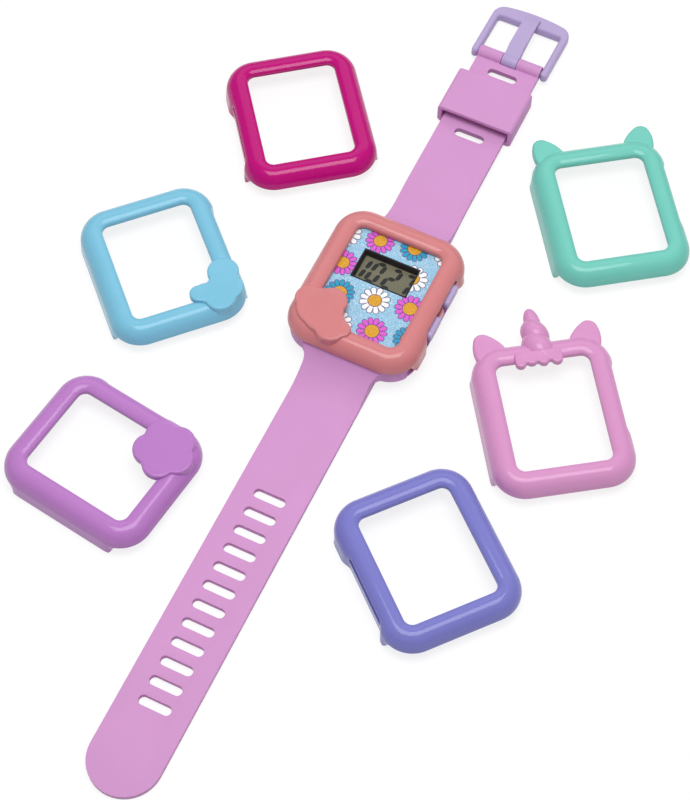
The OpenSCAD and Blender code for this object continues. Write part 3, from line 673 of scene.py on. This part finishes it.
def cover_profile(edge, way):
    """The wall's section at one station: brow, top, the skirt on the long sides, hollow and lip."""
    out = edge + way * (TOP_MIDDLE[0] + TOP_REACH[0])
    on_long_side = abs(way.x) > LONG_SIDE
    skirt = eased((SKIRT_HALF - abs(out.y)) / SKIRT_RISE) if on_long_side else 0.0
    low = WALL_MIDDLE[1] + (SKIRT_LOW - WALL_MIDDLE[1]) * skirt
    flare = (SKIRT_OUT - TOP_MIDDLE[0] - TOP_REACH[0]) * skirt - SKIRT_END * skirt * (1 - skirt)
    last_angle = math.degrees(math.asin(max(0.0, low + FOOT_ROUND - TOP_MIDDLE[1]) / TOP_REACH[1]))
    brow_angle = 90 + math.degrees(math.asin((TOP_MIDDLE[0] - BROW) / TOP_REACH[0]))
    top = [Vector((TOP_MIDDLE[0] + p.x * TOP_REACH[0], TOP_MIDDLE[1] + p.y * TOP_REACH[1]))
           for p in arc((0.0, 0.0), 1.0, brow_angle, last_angle, TOP_STEPS)]
    outer = Vector((TOP_MIDDLE[0] + TOP_REACH[0] + flare, low))
    inner = Vector((HOLLOW_OUT, low))
    foot = outer + Vector((0, FOOT_ROUND))
    wall = [top[-1].lerp(foot, k / SKIRT_STEPS) for k in range(1, SKIRT_STEPS)]
    hollow = arc(WALL_MIDDLE, HOLLOW_RADIUS, 0, 90, HOLLOW_STEPS)
    slope, brow, lip, up = Vector((0, 0)), top[0], Vector((0, -LIP)), Vector((0, 1))
    section = [
        *rounded_corner(slope, brow, top[2], BROW_ROUND, 6),
        *top[2:],
        *wall,
        *rounded_corner(outer + up, outer, inner, FOOT_ROUND),
        *rounded_corner(outer, inner, inner + up, FOOT_INNER_ROUND),
        *hollow,
        *rounded_corner(hollow[-1], lip, slope, LIP_FOOT_ROUND, 3),
        *rounded_corner(lip, slope, brow, LIP_ROUND),
    ]
    press_in_recess(section, way, out.y)
    return section


def cover_shell(name):
    """A plain cover, with the slot through its right side for the watch's buttons."""
    stations = window_stations()
    shell = lofted(name, stations, [cover_profile(edge, way) for edge, way in stations])
    half_high = (SLOT_HIGH - SLOT_LOW) / 2
    opening = rounded_box_outline(SLOT_HALF, half_high, half_high, steps=12)
    stand = Matrix.Translation((WINDOW_HALF[0] + WALL_MIDDLE[0], RECESS_Y, (SLOT_HIGH + SLOT_LOW) / 2))
    carve(shell, slab("slot", opening, 0.0, WALL_RADIUS + OVERRUN, place=stand @ ALONG_X), "DIFFERENCE")
    return shell


UNDER_REACH = 0.4
UNDER_TOP = 0.2


def clear_hollow(thing):
    """Cuts away what reaches into the cover's hollow. The cutter's skin lies inside the wall."""
    skin = (WALL_RADIUS + HOLLOW_RADIUS) / 2
    low = SKIRT_LOW - OVERRUN
    carve(thing, swept("under", [
        (-UNDER_REACH, UNDER_TOP), *arc(WALL_MIDDLE, skin, 90, 0, HOLLOW_STEPS),
        (WALL_MIDDLE[0] + skin, low), (-UNDER_REACH, low)]), "DIFFERENCE")


# Ornaments on the covers

PLATE_TOP = 2.0
PLATE_LOW = 0.4
PLATE_OUT = 3.7
PLATE_ROUND = 0.5
PLATE_FOOT = 0.75
LOBE_REACH = 7.2
LOBE_SOFTNESS = 14


def raised_ornament(cover, outline):
    """A flat ornament on the wall, let into it, that reaches a little over the window."""
    foot = WALL_MIDDLE[1] + PLATE_FOOT
    ornament = slab("ornament", outline, foot, PLATE_TOP, PLATE_ROUND)
    inner, outer = WALL_MIDDLE[0], WALL_MIDDLE[0] + PLATE_OUT
    low, high = foot - OVERRUN, PLATE_TOP + OVERRUN
    keep = swept("keep", [(inner, low), (outer, low), (outer, high), (inner, high)])
    reach = WINDOW_HALF[1] + 2 * WALL_RADIUS
    carve(keep, block("over_window", (-reach, -reach, PLATE_LOW), (reach, reach, high + OVERRUN)), "UNION")
    carve(ornament, keep, "INTERSECT")
    clear_hollow(ornament)
    carve(cover, ornament, "UNION")


def lobed_ornament(cover, place_shares, lobe_shares):
    """An ornament of joined round lobes, placed by shares of the window's half sides."""
    middle = Vector((place_shares[0] * WINDOW_HALF[0], place_shares[1] * WINDOW_HALF[1]))
    circles = [(middle.x + x * LOBE_REACH, middle.y + y * LOBE_REACH, r * LOBE_REACH)
               for x, y, r in lobe_shares]
    raised_ornament(cover, evened(joined_outline(circles, middle), softness=LOBE_SOFTNESS))


BUTTERFLY_PLACE_SHARES = (-0.72, -0.87)
BUTTERFLY_SHARES = (
    (-0.63, 0.22, 0.455), (-0.21, 0.055, 0.71), (0.04, -0.12, 0.66),
    (0.1, 0.42, 0.506), (0.476, -0.446, 0.525), (0.847, -0.382, 0.286),
)
SMALL_BUTTERFLY_PLACE_SHARES = (0.9, -0.87)
SMALL_BUTTERFLY_SHARES = (
    (0.346, 0.444, 0.523), (-0.667, -0.078, 0.302), (-0.455, -0.129, 0.364),
    (-0.037, -0.416, 0.531), (0.339, -0.174, 0.487), (0.015, -0.064, 0.412),
)
FLOWER_PLACE_SHARES = (0.77, -0.82)
FLOWER_HEART_SHARE = 0.5
FLOWER_PETAL_SHARES = (0.485, 0.535)
FLOWER_PETALS = 5
FLOWER_TURN = 48


def butterfly(cover):
    lobed_ornament(cover, BUTTERFLY_PLACE_SHARES, BUTTERFLY_SHARES)


def small_butterfly(cover):
    lobed_ornament(cover, SMALL_BUTTERFLY_PLACE_SHARES, SMALL_BUTTERFLY_SHARES)


def flower(cover):
    out, size = FLOWER_PETAL_SHARES
    turns = [math.radians(FLOWER_TURN + 360 / FLOWER_PETALS * i) for i in range(FLOWER_PETALS)]
    petals = [(out * math.cos(a), out * math.sin(a), size) for a in turns]
    lobed_ornament(cover, FLOWER_PLACE_SHARES, [(0, 0, FLOWER_HEART_SHARE), *petals])


EAR_HEIGHT = 8.1
EAR_TOP = 0.315
EAR_THICK = 2.1
EAR_ROUND = 2.2
EAR_FOOT = 1.5
EAR_TOP_EDGE = 0.7
EAR_LOW_EDGE = 0.5
EAR_FLANK_SHARES = (1.49, 0.006, 1.235)
EAR_BACK_SHARES = (0.636, 0.599, 0.988)
EAR_MIDDLE_SHARES = (1.05, 0.6)


def cat_ears(cover):
    """Two ears, each the part that two circles have in common, with a round tip."""
    half_x, half_y = WINDOW_HALF
    for side in (-1, 1):
        circles = [(side * x * half_x, half_y + y * EAR_HEIGHT, r * EAR_HEIGHT - EAR_ROUND)
                   for x, y, r in (EAR_FLANK_SHARES, EAR_BACK_SHARES)]
        middle = Vector((side * EAR_MIDDLE_SHARES[0] * half_x, half_y + EAR_MIDDLE_SHARES[1] * EAR_HEIGHT))
        foot = half_y + WALL_MIDDLE[0] + EAR_FOOT
        core = clipped(joined_outline(circles, middle, common=True), 1, foot, False)
        outline = swollen(core, EAR_ROUND)
        ear = slab("ear", outline, EAR_TOP - EAR_THICK, EAR_TOP, EAR_TOP_EDGE, EAR_LOW_EDGE)
        clear_hollow(ear)
        carve(cover, ear, "UNION")


HORN_START = 15.1
HORN_HEIGHT = -1.24
HORN_SLANT = 0.26
HORN_SHIFT = 0.1
HORN_RINGS = 96
HORN_SIDES = 56
HORN_CROWDING = 1.5
# A tier is a middle, a radius and a reach
HORN_TIERS = ((17.3, 3.8, 4.2), (21.4, 3.25, 3.55), (24.35, 1.95, 3.95))


def twisted_horn(cover):
    """A horn of three slanted swellings, each growing out of the one before."""
    last = max(middle + reach for middle, _, reach in HORN_TIERS)
    points = []
    for i in range(HORN_RINGS + 1):
        y = last - (last - HORN_START) * (1 - i / HORN_RINGS) ** HORN_CROWDING
        radius = max(r * math.sqrt(max(0.0, 1 - ((y - middle) / reach) ** 2))
                     for middle, r, reach in HORN_TIERS)
        for k in range(HORN_SIDES):
            a = 2 * math.pi * k / HORN_SIDES
            x, z = radius * math.cos(a), radius * math.sin(a)
            points.append((x + HORN_SHIFT, y - HORN_SLANT * x, HORN_HEIGHT + z))
    faces = ring_faces(HORN_RINGS + 1, HORN_SIDES)
    faces.append(tuple(range(HORN_SIDES)))
    horn = piece("horn", points, faces)
    clear_hollow(horn)
    carve(cover, horn, "UNION")


# A lock is a middle, the height of its middle and a radius
LOCKS = ((-5.05, 12.95, 1.3), (-2.4, 13.55, 1.42), (0.3, 13.1, 1.28), (3.45, 13.05, 1.35))
LOCK_LINE = 12.7
LOCK_BACK = 15.6
LOCK_CORNER = 1.1
LOCK_END = 1.0
LOCK_STEPS = 120
LOCK_SOFTNESS = 8
LOCK_LOW_ROUND = 0.15


def forelock(cover):
    """A lock of hair over the lip, under the horn, with an uneven scalloped edge."""
    low_x, high_x = LOCKS[0][0] - LOCKS[0][2], LOCKS[-1][0] + LOCKS[-1][2]
    lower = []
    for i in range(LOCK_STEPS + 1):
        x = low_x + (high_x - low_x) * i / LOCK_STEPS
        line = LOCK_LINE if low_x + LOCK_END < x < high_x - LOCK_END else LOCK_BACK
        near = [lock for lock in LOCKS if abs(x - lock[0]) < lock[2] + TINY]
        depths = [y - math.sqrt(max(0.0, r * r - (x - middle) ** 2)) for middle, y, r in near]
        lower.append(Vector((x, min([line, *depths]))))
    corner_y = LOCK_BACK - LOCK_CORNER
    back = [*arc((high_x - LOCK_CORNER, corner_y), LOCK_CORNER, 0, 90, 8),
            *arc((low_x + LOCK_CORNER, corner_y), LOCK_CORNER, 90, 180, 8)]
    outline = evened(lower + back, softness=LOCK_SOFTNESS)
    carve(cover, slab("lock", outline, PLATE_LOW, PLATE_TOP, PLATE_ROUND, LOCK_LOW_ROUND), "UNION")


BUTTON_PLACES = (6.4, -3.2)
BUTTON_HALF = 3.05
BUTTON_CLEAR = 0.3
GAP_TOP = -2.6
TIE_OUT = (4.21, 4.44)
TIE_HALF = 0.58
TIE_HEIGHTS = (-4.85, -0.12)
RAIL_OUT = 4.58
RAIL_HALF = (0.42, 1.38)
RAIL_CORNER = 0.3
RAIL_HEIGHTS = (-5.2, -2.75)
RAIL_ROUND = 0.38


def rail_gaps(cover):
    """Opens the rail under each button, and ties the rail between them to the wall."""
    x = WINDOW_HALF[0]
    wall_in, wall_out = x + WALL_MIDDLE[0], x + WALL_MIDDLE[0] + WALL_RADIUS + OVERRUN
    for y in BUTTON_PLACES:
        reach = BUTTON_HALF + BUTTON_CLEAR
        gap = block("gap", (wall_in, y - reach, SKIRT_LOW - OVERRUN), (wall_out, y + reach, GAP_TOP))
        carve(cover, gap, "DIFFERENCE")
    y = sum(BUTTON_PLACES) / 2
    tie = block("tie", (x + TIE_OUT[0], y - TIE_HALF, TIE_HEIGHTS[0]),
                (x + TIE_OUT[1], y + TIE_HALF, TIE_HEIGHTS[1]))
    bar = rounded_box_outline(*RAIL_HALF, RAIL_CORNER, (x + RAIL_OUT, y))
    carve(tie, slab("rail", bar, *RAIL_HEIGHTS, RAIL_ROUND), "UNION")
    carve(cover, tie, "UNION")


def place_cover(cover, name, colour, place, turn):
    clean_cuts(cover)
    turned = Matrix.Rotation(math.radians(turn), 4, "Z")
    cover.data.transform(TO_METRES @ Matrix.Translation(place) @ turned)
    smooth_faces(cover)
    even = cover.modifiers.new("even", "WEIGHTED_NORMAL")
    even.keep_sharp = True
    settle(cover)
    slot = f"{name}_plastic"
    stand_for(cover, f"bezel_{name}", f"{name}_cover", moulded_plastic(slot, colour), slot)


LIP_HEIGHT = 10.0
TABLE_LIP = -SKIRT_LOW
# A cover is a colour, a place, a turn in degrees and what it has beyond the plain one
COVERS = {
    "coral": (shade(217, 134, 136), (0.0, 0.0, LIP_HEIGHT), 0.0, (rail_gaps, butterfly)),
    "magenta": (shade(196, 6, 124), (-39.3, 39.35, TABLE_LIP), 217.7, ()),
    "sky": (shade(130, 200, 228), (-49.85, -13.2, TABLE_LIP), 46.0, (small_butterfly,)),
    "violet": (shade(193, 130, 204), (-37.35, -64.5, TABLE_LIP), 82.2, (flower,)),
    "mint": (shade(120, 209, 194), (40.15, 46.6, TABLE_LIP), 35.5, (cat_ears,)),
    "pink": (shade(222, 154, 204), (49.35, -10.45, TABLE_LIP), 34.7, (cat_ears, twisted_horn, forelock)),
    "periwinkle": (shade(128, 128, 206), (38.25, -54.9, TABLE_LIP), 229.3, ()),
}


def make_covers():
    plain = cover_shell("plain_cover")
    for name, (colour, place, turn, extras) in COVERS.items():
        cover = in_scene(f"{name}_cover", plain.data.copy())
        for extra in extras:
            extra(cover)
        place_cover(cover, name, colour, place, turn)
    bpy.data.objects.remove(plain)


make_covers()


# Printed face

FACE_TOP = 9.25
FACE_HALF = (12.0, 14.75)
FACE_MARGIN = 0.1
DISPLAY_Y = 4.7
DISPLAY_HALF = (7.2, 4.25)
INK = 0.01


def on_the_face(polygon):
    """The parts of a convex polygon that lie on the face plate and clear of the display's opening."""
    for axis in (0, 1):
        polygon = clipped(polygon, axis, FACE_HALF[axis] - FACE_MARGIN, True)
        polygon = clipped(polygon, axis, FACE_MARGIN - FACE_HALF[axis], False) if polygon else polygon
        if not polygon:
            return
    left, right = -DISPLAY_HALF[0], DISPLAY_HALF[0]
    low, high = DISPLAY_Y - DISPLAY_HALF[1], DISPLAY_Y + DISPLAY_HALF[1]
    middle = clipped(polygon, 0, left, False)
    middle = clipped(middle, 0, right, True) if middle else middle
    parts = [clipped(polygon, 0, left, True), clipped(polygon, 0, right, False)]
    if middle:
        parts += [clipped(middle, 1, low, True), clipped(middle, 1, high, False)]
    for part in parts:
        if len(part) > 2:
            yield part


def ink_layer(name, polygons, low, high, material):
    """A printed layer: thin flat prisms of the given polygons, all in one piece."""
    points, faces = [], []
    for polygon in polygons:
        start, count = len(points), len(polygon)
        points += [(p.x, p.y, low) for p in polygon] + [(p.x, p.y, high) for p in polygon]
        faces.append(tuple(start + i for i in range(count - 1, -1, -1)))
        faces.append(tuple(start + count + i for i in range(count)))
        faces += [tuple(start + i for i in side) for side in ring_faces(2, count)]
    layer = piece(name, points, faces)
    layer.data.transform(TO_METRES)
    finish_with(layer, material)
    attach(layer, "watch")


DAISY_START = Vector((1.0, -3.2))
DAISY_STEP = Vector((8.3, 1.5))
DAISY_LINE = Vector((-2.9, 7.7))
DAISY_ROWS = range(-3, 4)
DAISY_BEYOND = 1.5
HEART_RADIUS = 1.55
HEART_CHANGE = 0.12
DISC_STEPS = 40
PETAL_LENGTHS = (2.0, 1.85, 1.75)
PETAL_COUNTS = {"white": 12, "pink": 13, "teal": 14}
PETAL_INKS = {"white": print_white, "pink": print_pink, "teal": print_teal}
PETAL_START_SHARE = 0.7
PETAL_FOOT_SHARE = 0.55
PETAL_FILL_SHARE = 0.74
PETAL_WIDEST = 0.5
PETAL_STEPS = 14
ROW_TURN = 0.3
EDGE_WIDE = 0.17
EDGE_SIDE = 0.15


def petal(middle, turn, start, end, half_width):
    """One petal: narrow at the flower's middle, and round at its tip."""
    way = way_at(turn)
    side = left_of(way) * half_width
    tip = end - half_width
    outline = [middle + way * start - side * PETAL_FOOT_SHARE]
    for k in range(PETAL_STEPS + 1):
        a = -math.pi / 2 + math.pi * k / PETAL_STEPS
        outline.append(middle + way * (tip + half_width * math.cos(a)) + side * math.sin(a))
    outline.append(middle + way * start + side * PETAL_FOOT_SHARE)
    return outline


def disc(middle, radius):
    return arc(middle, radius, 0, 360 - 360 / DISC_STEPS, DISC_STEPS - 1)


def make_daisies():
    """Daisies in slanting rows over the face, their size and petal count varied by turns."""
    petals = {colour: [] for colour in PETAL_INKS}
    edges, middles, rims = [], [], []
    for row in DAISY_ROWS:
        for column in DAISY_ROWS:
            middle = DAISY_START + DAISY_STEP * column + DAISY_LINE * row
            if any(abs(middle[axis]) > FACE_HALF[axis] + DAISY_BEYOND for axis in (0, 1)):
                continue
            colour = list(PETAL_INKS)[(column + 2 * row) % 3]
            heart = HEART_RADIUS + HEART_CHANGE * ((column + row) % 2)
            reach = heart + PETAL_LENGTHS[(column - row) % 3]
            start = heart * PETAL_START_SHARE
            count = PETAL_COUNTS[colour]
            half = math.pi * (reach - PETAL_WIDEST) / count * PETAL_FILL_SHARE
            for k in range(count):
                turn = 2 * math.pi * k / count + ROW_TURN * row
                edges += on_the_face(petal(middle, turn, start, reach + EDGE_WIDE, half + EDGE_SIDE))
                petals[colour] += on_the_face(petal(middle, turn, start, reach, half))
            rims += on_the_face(disc(middle, heart + EDGE_WIDE))
            middles += on_the_face(disc(middle, heart))
    ink_layer("petal_edges", edges, FACE_TOP, FACE_TOP + INK, print_dark)
    for colour, ink in PETAL_INKS.items():
        ink_layer(f"petals_{colour}", petals[colour], FACE_TOP, FACE_TOP + 2 * INK, ink)
    ink_layer("daisy_rims", rims, FACE_TOP, FACE_TOP + 3 * INK, print_dark)
    ink_layer("daisy_middles", middles, FACE_TOP, FACE_TOP + 4 * INK, print_gold)


make_daisies()


# Display

GLASS_TOP = 7.3
DIGIT_WIDE = 2.15
DIGIT_HIGH = 5.5
DIGIT_LOW = 2.05
STROKE = 1.04
STROKE_GAP = 0.09
SLANT = math.tan(math.radians(11))
SEGMENTS = {
    "a": ((0, 1), (1, 1)), "b": ((1, 1), (1, 0.5)), "c": ((1, 0.5), (1, 0)), "d": ((0, 0), (1, 0)),
    "e": ((0, 0), (0, 0.5)), "f": ((0, 0.5), (0, 1)), "g": ((0, 0.5), (1, 0.5)),
}
DIGITS = {"0": "abcdef", "1": "bc", "2": "abged", "7": "abc"}
DIGIT_MIDDLES = (("1", -6.2), ("0", -2.55), ("2", 1.6), ("7", 5.1))
# A point of the surround's section is a distance inward and a height
SURROUND_SLOPE = ((0.0, 7.35), (0.0, 9.22), (0.05, 9.3), (0.16, 9.3), (0.24, 9.22), (0.5, 7.6), (0.5, 7.35))
SURROUND_HALF = (7.05, 4.1)
SURROUND_ROUND = 0.45
SURROUND_LEAST_ROUND = 0.1
SURROUND_ROUND_SHARE = 0.6


def make_surround():
    """Black surround: a thin rim at the face, and walls that slope in down to the glass."""
    points = []
    for inward, z in SURROUND_SLOPE:
        corner = max(SURROUND_LEAST_ROUND, SURROUND_ROUND - inward * SURROUND_ROUND_SHARE)
        ring = rounded_box_outline(SURROUND_HALF[0] - inward, SURROUND_HALF[1] - inward, corner)
        points += [(p.x, p.y + DISPLAY_Y, z) for p in ring]
    rim = piece("surround", points, ring_faces(len(SURROUND_SLOPE), len(ring), closed=True))
    rim.data.transform(TO_METRES)
    smooth_faces(rim)
    stand_for(rim, "display_surround", "watch", black_plastic, "black_plastic")


def segment(first, second):
    """A bar with pointed ends between two corners of a digit."""
    run = (second - first).normalized()
    side, neck = left_of(run) * STROKE / 2, run * STROKE / 2
    a, b = first + run * STROKE_GAP, second - run * STROKE_GAP
    return [a, a + neck - side, b - neck - side, b, b - neck + side, a + neck + side]


def make_display_digits():
    bars = []
    for digit, middle in DIGIT_MIDDLES:
        for name in DIGITS[digit]:
            ends = [Vector(((x - 0.5) * DIGIT_WIDE, y * DIGIT_HIGH)) for x, y in SEGMENTS[name]]
            bars.append([Vector((middle + p.x + (p.y - DIGIT_HIGH / 2) * SLANT, DIGIT_LOW + p.y))
                         for p in segment(*ends)])
    ink_layer("display_digits", bars, GLASS_TOP, GLASS_TOP + INK, display_ink)


make_surround()
make_display_digits()


# Buckle frame, drawn about its pin

PIN_Y = 79.1
PIN_Z = 2.5
BORE = 0.65
ARM_IN = 8.5
ARM_WIDE = 1.9
ARM_TAIL = 1.5
BAR_IN = 12.7
BAR_OUT = 16.9
BAR_BOW = 1.3
BUCKLE_HIGH = 2.6
BUCKLE_CORNER = 3.2
BUCKLE_INNER = 0.5
BUCKLE_SLOPE = 4
BUCKLE_TOP_ROUND = 0.75
BUCKLE_LOW_ROUND = 0.5
BUCKLE_CREASE = 50


def make_buckle():
    """The buckle's frame: two arms with round ends, and a bowed bar."""
    half = ARM_IN + ARM_WIDE
    bow = (half * half + BAR_BOW * BAR_BOW) / (2 * BAR_BOW)
    bow_y = BAR_OUT - bow
    corner_x = half - BUCKLE_CORNER
    corner_y = bow_y + math.sqrt((bow - BUCKLE_CORNER) ** 2 - corner_x ** 2)
    lean = math.degrees(math.atan2(corner_y - bow_y, corner_x))
    end_x, end_y, end = ARM_IN + ARM_WIDE / 2, ARM_WIDE / 2 - ARM_TAIL, ARM_WIDE / 2
    inner_x, inner_y = ARM_IN - BUCKLE_INNER, BAR_IN - BUCKLE_INNER
    outline = distinct([
        *arc((end_x, end_y), end, 180, 360, 12),
        *arc((corner_x, corner_y), BUCKLE_CORNER, 0, lean, 12),
        *arc((0.0, bow_y), bow, lean, 180 - lean, 24),
        *arc((-corner_x, corner_y), BUCKLE_CORNER, 180 - lean, 180, 12),
        *arc((-end_x, end_y), end, 180, 360, 12),
        *arc((-inner_x, inner_y), BUCKLE_INNER, 180, 90, 6),
        *arc((inner_x, inner_y), BUCKLE_INNER, 90, 0, 6),
    ])
    outline = evened(outline, spacing=0.25, softness=2)
    high = BUCKLE_HIGH / 2
    rim = slab("buckle", outline, -high, high, BUCKLE_TOP_ROUND, BUCKLE_LOW_ROUND)
    reach = half - ARM_WIDE / 4
    carve(rim, slab("bore", disc((0.0, 0.0), BORE), -reach, reach, place=ALONG_X), "DIFFERENCE")
    tilt = Matrix.Rotation(math.radians(-BUCKLE_SLOPE), 4, "X")
    rim.data.transform(TO_METRES @ Matrix.Translation((0, PIN_Y, PIN_Z)) @ tilt)
    smooth_faces(rim, BUCKLE_CREASE)
    body = body_of(nodes["buckle_frame"])[0]
    stand_for(rim, "buckle_frame", body, lilac_plastic, "lilac_plastic")


make_buckle()


# The CAD nodes that stay, and copies of some with rounded edges

FINISHES = {
    "strap_body": strap_vinyl, "keeper": strap_vinyl,
    "case_shell": lilac_plastic, "upper_button": lilac_plastic, "lower_button": lilac_plastic,
    "buckle_tongue": lilac_plastic, "buckle_pin": steel,
    "back_cover": back_plastic, "back_screws": steel,
    "face_plate": face_print, "display_glass": display_glass,
    "module_frame": module_plastic, "battery_holder": module_plastic,
    "contact_strips": contact_rubber, "circuit_board": board, "chip_cap": chip_resin,
    "crystal_can": steel, "coin_cell": steel, "battery_clip": steel,
    "battery_spring": spring_metal, "side_contact": spring_metal,
}
# A softened node has a slot and the width of its rounded edges
SOFTENED = {
    "strap_body": ("strap_vinyl", 0.22), "keeper": ("strap_vinyl", 0.3),
    "upper_button": ("lilac_plastic", 0.35), "lower_button": ("lilac_plastic", 0.35),
    "buckle_tongue": ("lilac_plastic", 0.25),
}
SOFT_MERGE = 0.002
SOFT_FLAT_ANGLE = 0.3
SOFT_EDGE_ANGLE = 50
SOFT_EDGE_STEPS = 3
BUTTON_SWELL = 0.45
BUTTON_OUT = 1.35


def swell_outward(mesh):
    """Rounds a button's face outward."""
    face = max(v.co.x for v in mesh.vertices)
    for v in mesh.vertices:
        v.co.x += BUTTON_SWELL * MM * eased((v.co.x - face) / (BUTTON_OUT * MM) + 1)


def softened_copy(node, material, slot, width):
    """A copy of a CAD node's mesh with smooth faces and rounded edges, in place of the node."""
    thing = in_scene(f"{node.name}_soft", node.data.copy())
    thing.matrix_world = node.matrix_world.copy()
    work = bmesh.new()
    work.from_mesh(thing.data)
    bmesh.ops.remove_doubles(work, verts=work.verts, dist=SOFT_MERGE * MM)
    flat = math.radians(SOFT_FLAT_ANGLE)
    bmesh.ops.dissolve_limit(work, angle_limit=flat, verts=work.verts, edges=work.edges)
    work.to_mesh(thing.data)
    work.free()
    edge = thing.modifiers.new("edge", "BEVEL")
    edge.width = width * MM
    edge.segments = SOFT_EDGE_STEPS
    edge.limit_method = "ANGLE"
    edge.angle_limit = math.radians(SOFT_EDGE_ANGLE)
    edge.use_clamp_overlap = True
    settle(thing)
    if "button" in node.name:
        swell_outward(thing.data)
    smooth_faces(thing)
    stand_for(thing, node.name, body_of(node)[0], material, slot)


def dress_nodes():
    for name, material in FINISHES.items():
        finish_with(nodes[name], material)
        if name in SOFTENED:
            softened_copy(nodes[name], material, *SOFTENED[name])


dress_nodes()


# Table, lights and surroundings

TABLE_HALF = 3.0
TABLE_DROP = 0.0001
TABLE_GREY = (0.8, 0.8, 0.8, 1)
TABLE_GLOW = 1.12
TABLE_GLOW_SHARE = 0.72
WHITE = (1, 1, 1, 1)
WORLD_LIGHT = 0.3
# A soft box is a place, its two sides and its power, in metres and watts
SOFT_BOXES = {
    "soft_box_above": ((0.02, -0.03, 0.55), (0.38, 0.28), 2.1),
    "soft_box_behind": ((-0.14, 0.5, 0.5), (0.9, 0.4), 0.9),
}


def make_table():
    """A pale table that looks white to the camera and in reflections, and keeps the soft shadows."""
    half = TABLE_HALF
    mesh = bpy.data.meshes.new("table")
    corners = [(sx * half, sy * half, 0) for sx, sy in ((-1, -1), (1, -1), (1, 1), (-1, 1))]
    mesh.from_pydata(corners, [], [(0, 1, 2, 3)])
    table = in_scene("table", mesh)
    table.location.z = cad_box[0].z - TABLE_DROP
    material, wire = new_finish("table")
    to_camera = wire.make("ShaderNodeLightPath", out="Is Camera Ray")
    to_gloss = wire.make("ShaderNodeLightPath", out="Is Glossy Ray")
    seen = wire.maths("MAXIMUM", to_camera, to_gloss)
    white = wire.make("ShaderNodeEmission", None, {"Color": WHITE, "Strength": TABLE_GLOW})
    matt = wire.make("ShaderNodeBsdfDiffuse", None, {"Color": TABLE_GREY})
    surface = wire.make("ShaderNodeMixShader", None, {0: seen * TABLE_GLOW_SHARE, 1: matt, 2: white})
    wire.make("ShaderNodeOutputMaterial", None, {"Surface": surface})
    mesh.materials.append(material)


def make_surroundings():
    """A world that is white to the camera, and lights the object only a little."""
    bpy.context.scene.view_settings.view_transform = "Standard"
    world = bpy.data.worlds.new("studio")
    bpy.context.scene.world = world
    world.use_nodes = True
    world.node_tree.nodes.clear()
    wire = Wire(world.node_tree)
    to_camera = wire.make("ShaderNodeLightPath", out="Is Camera Ray")
    dim = wire.make("ShaderNodeBackground", None, {"Color": WHITE, "Strength": WORLD_LIGHT})
    white = wire.make("ShaderNodeBackground", None, {"Color": WHITE, "Strength": 1.0})
    surface = wire.make("ShaderNodeMixShader", None, {0: to_camera, 1: dim, 2: white})
    wire.make("ShaderNodeOutputWorld", None, {"Surface": surface})


def make_soft_boxes():
    for name, (place, sides, power) in SOFT_BOXES.items():
        light = bpy.data.lights.new(name, "AREA")
        light.shape = "RECTANGLE"
        light.size, light.size_y = sides
        light.energy = power
        aim(in_scene(name, light), place, -Vector(place))


make_table()
make_surroundings()
make_soft_boxes()
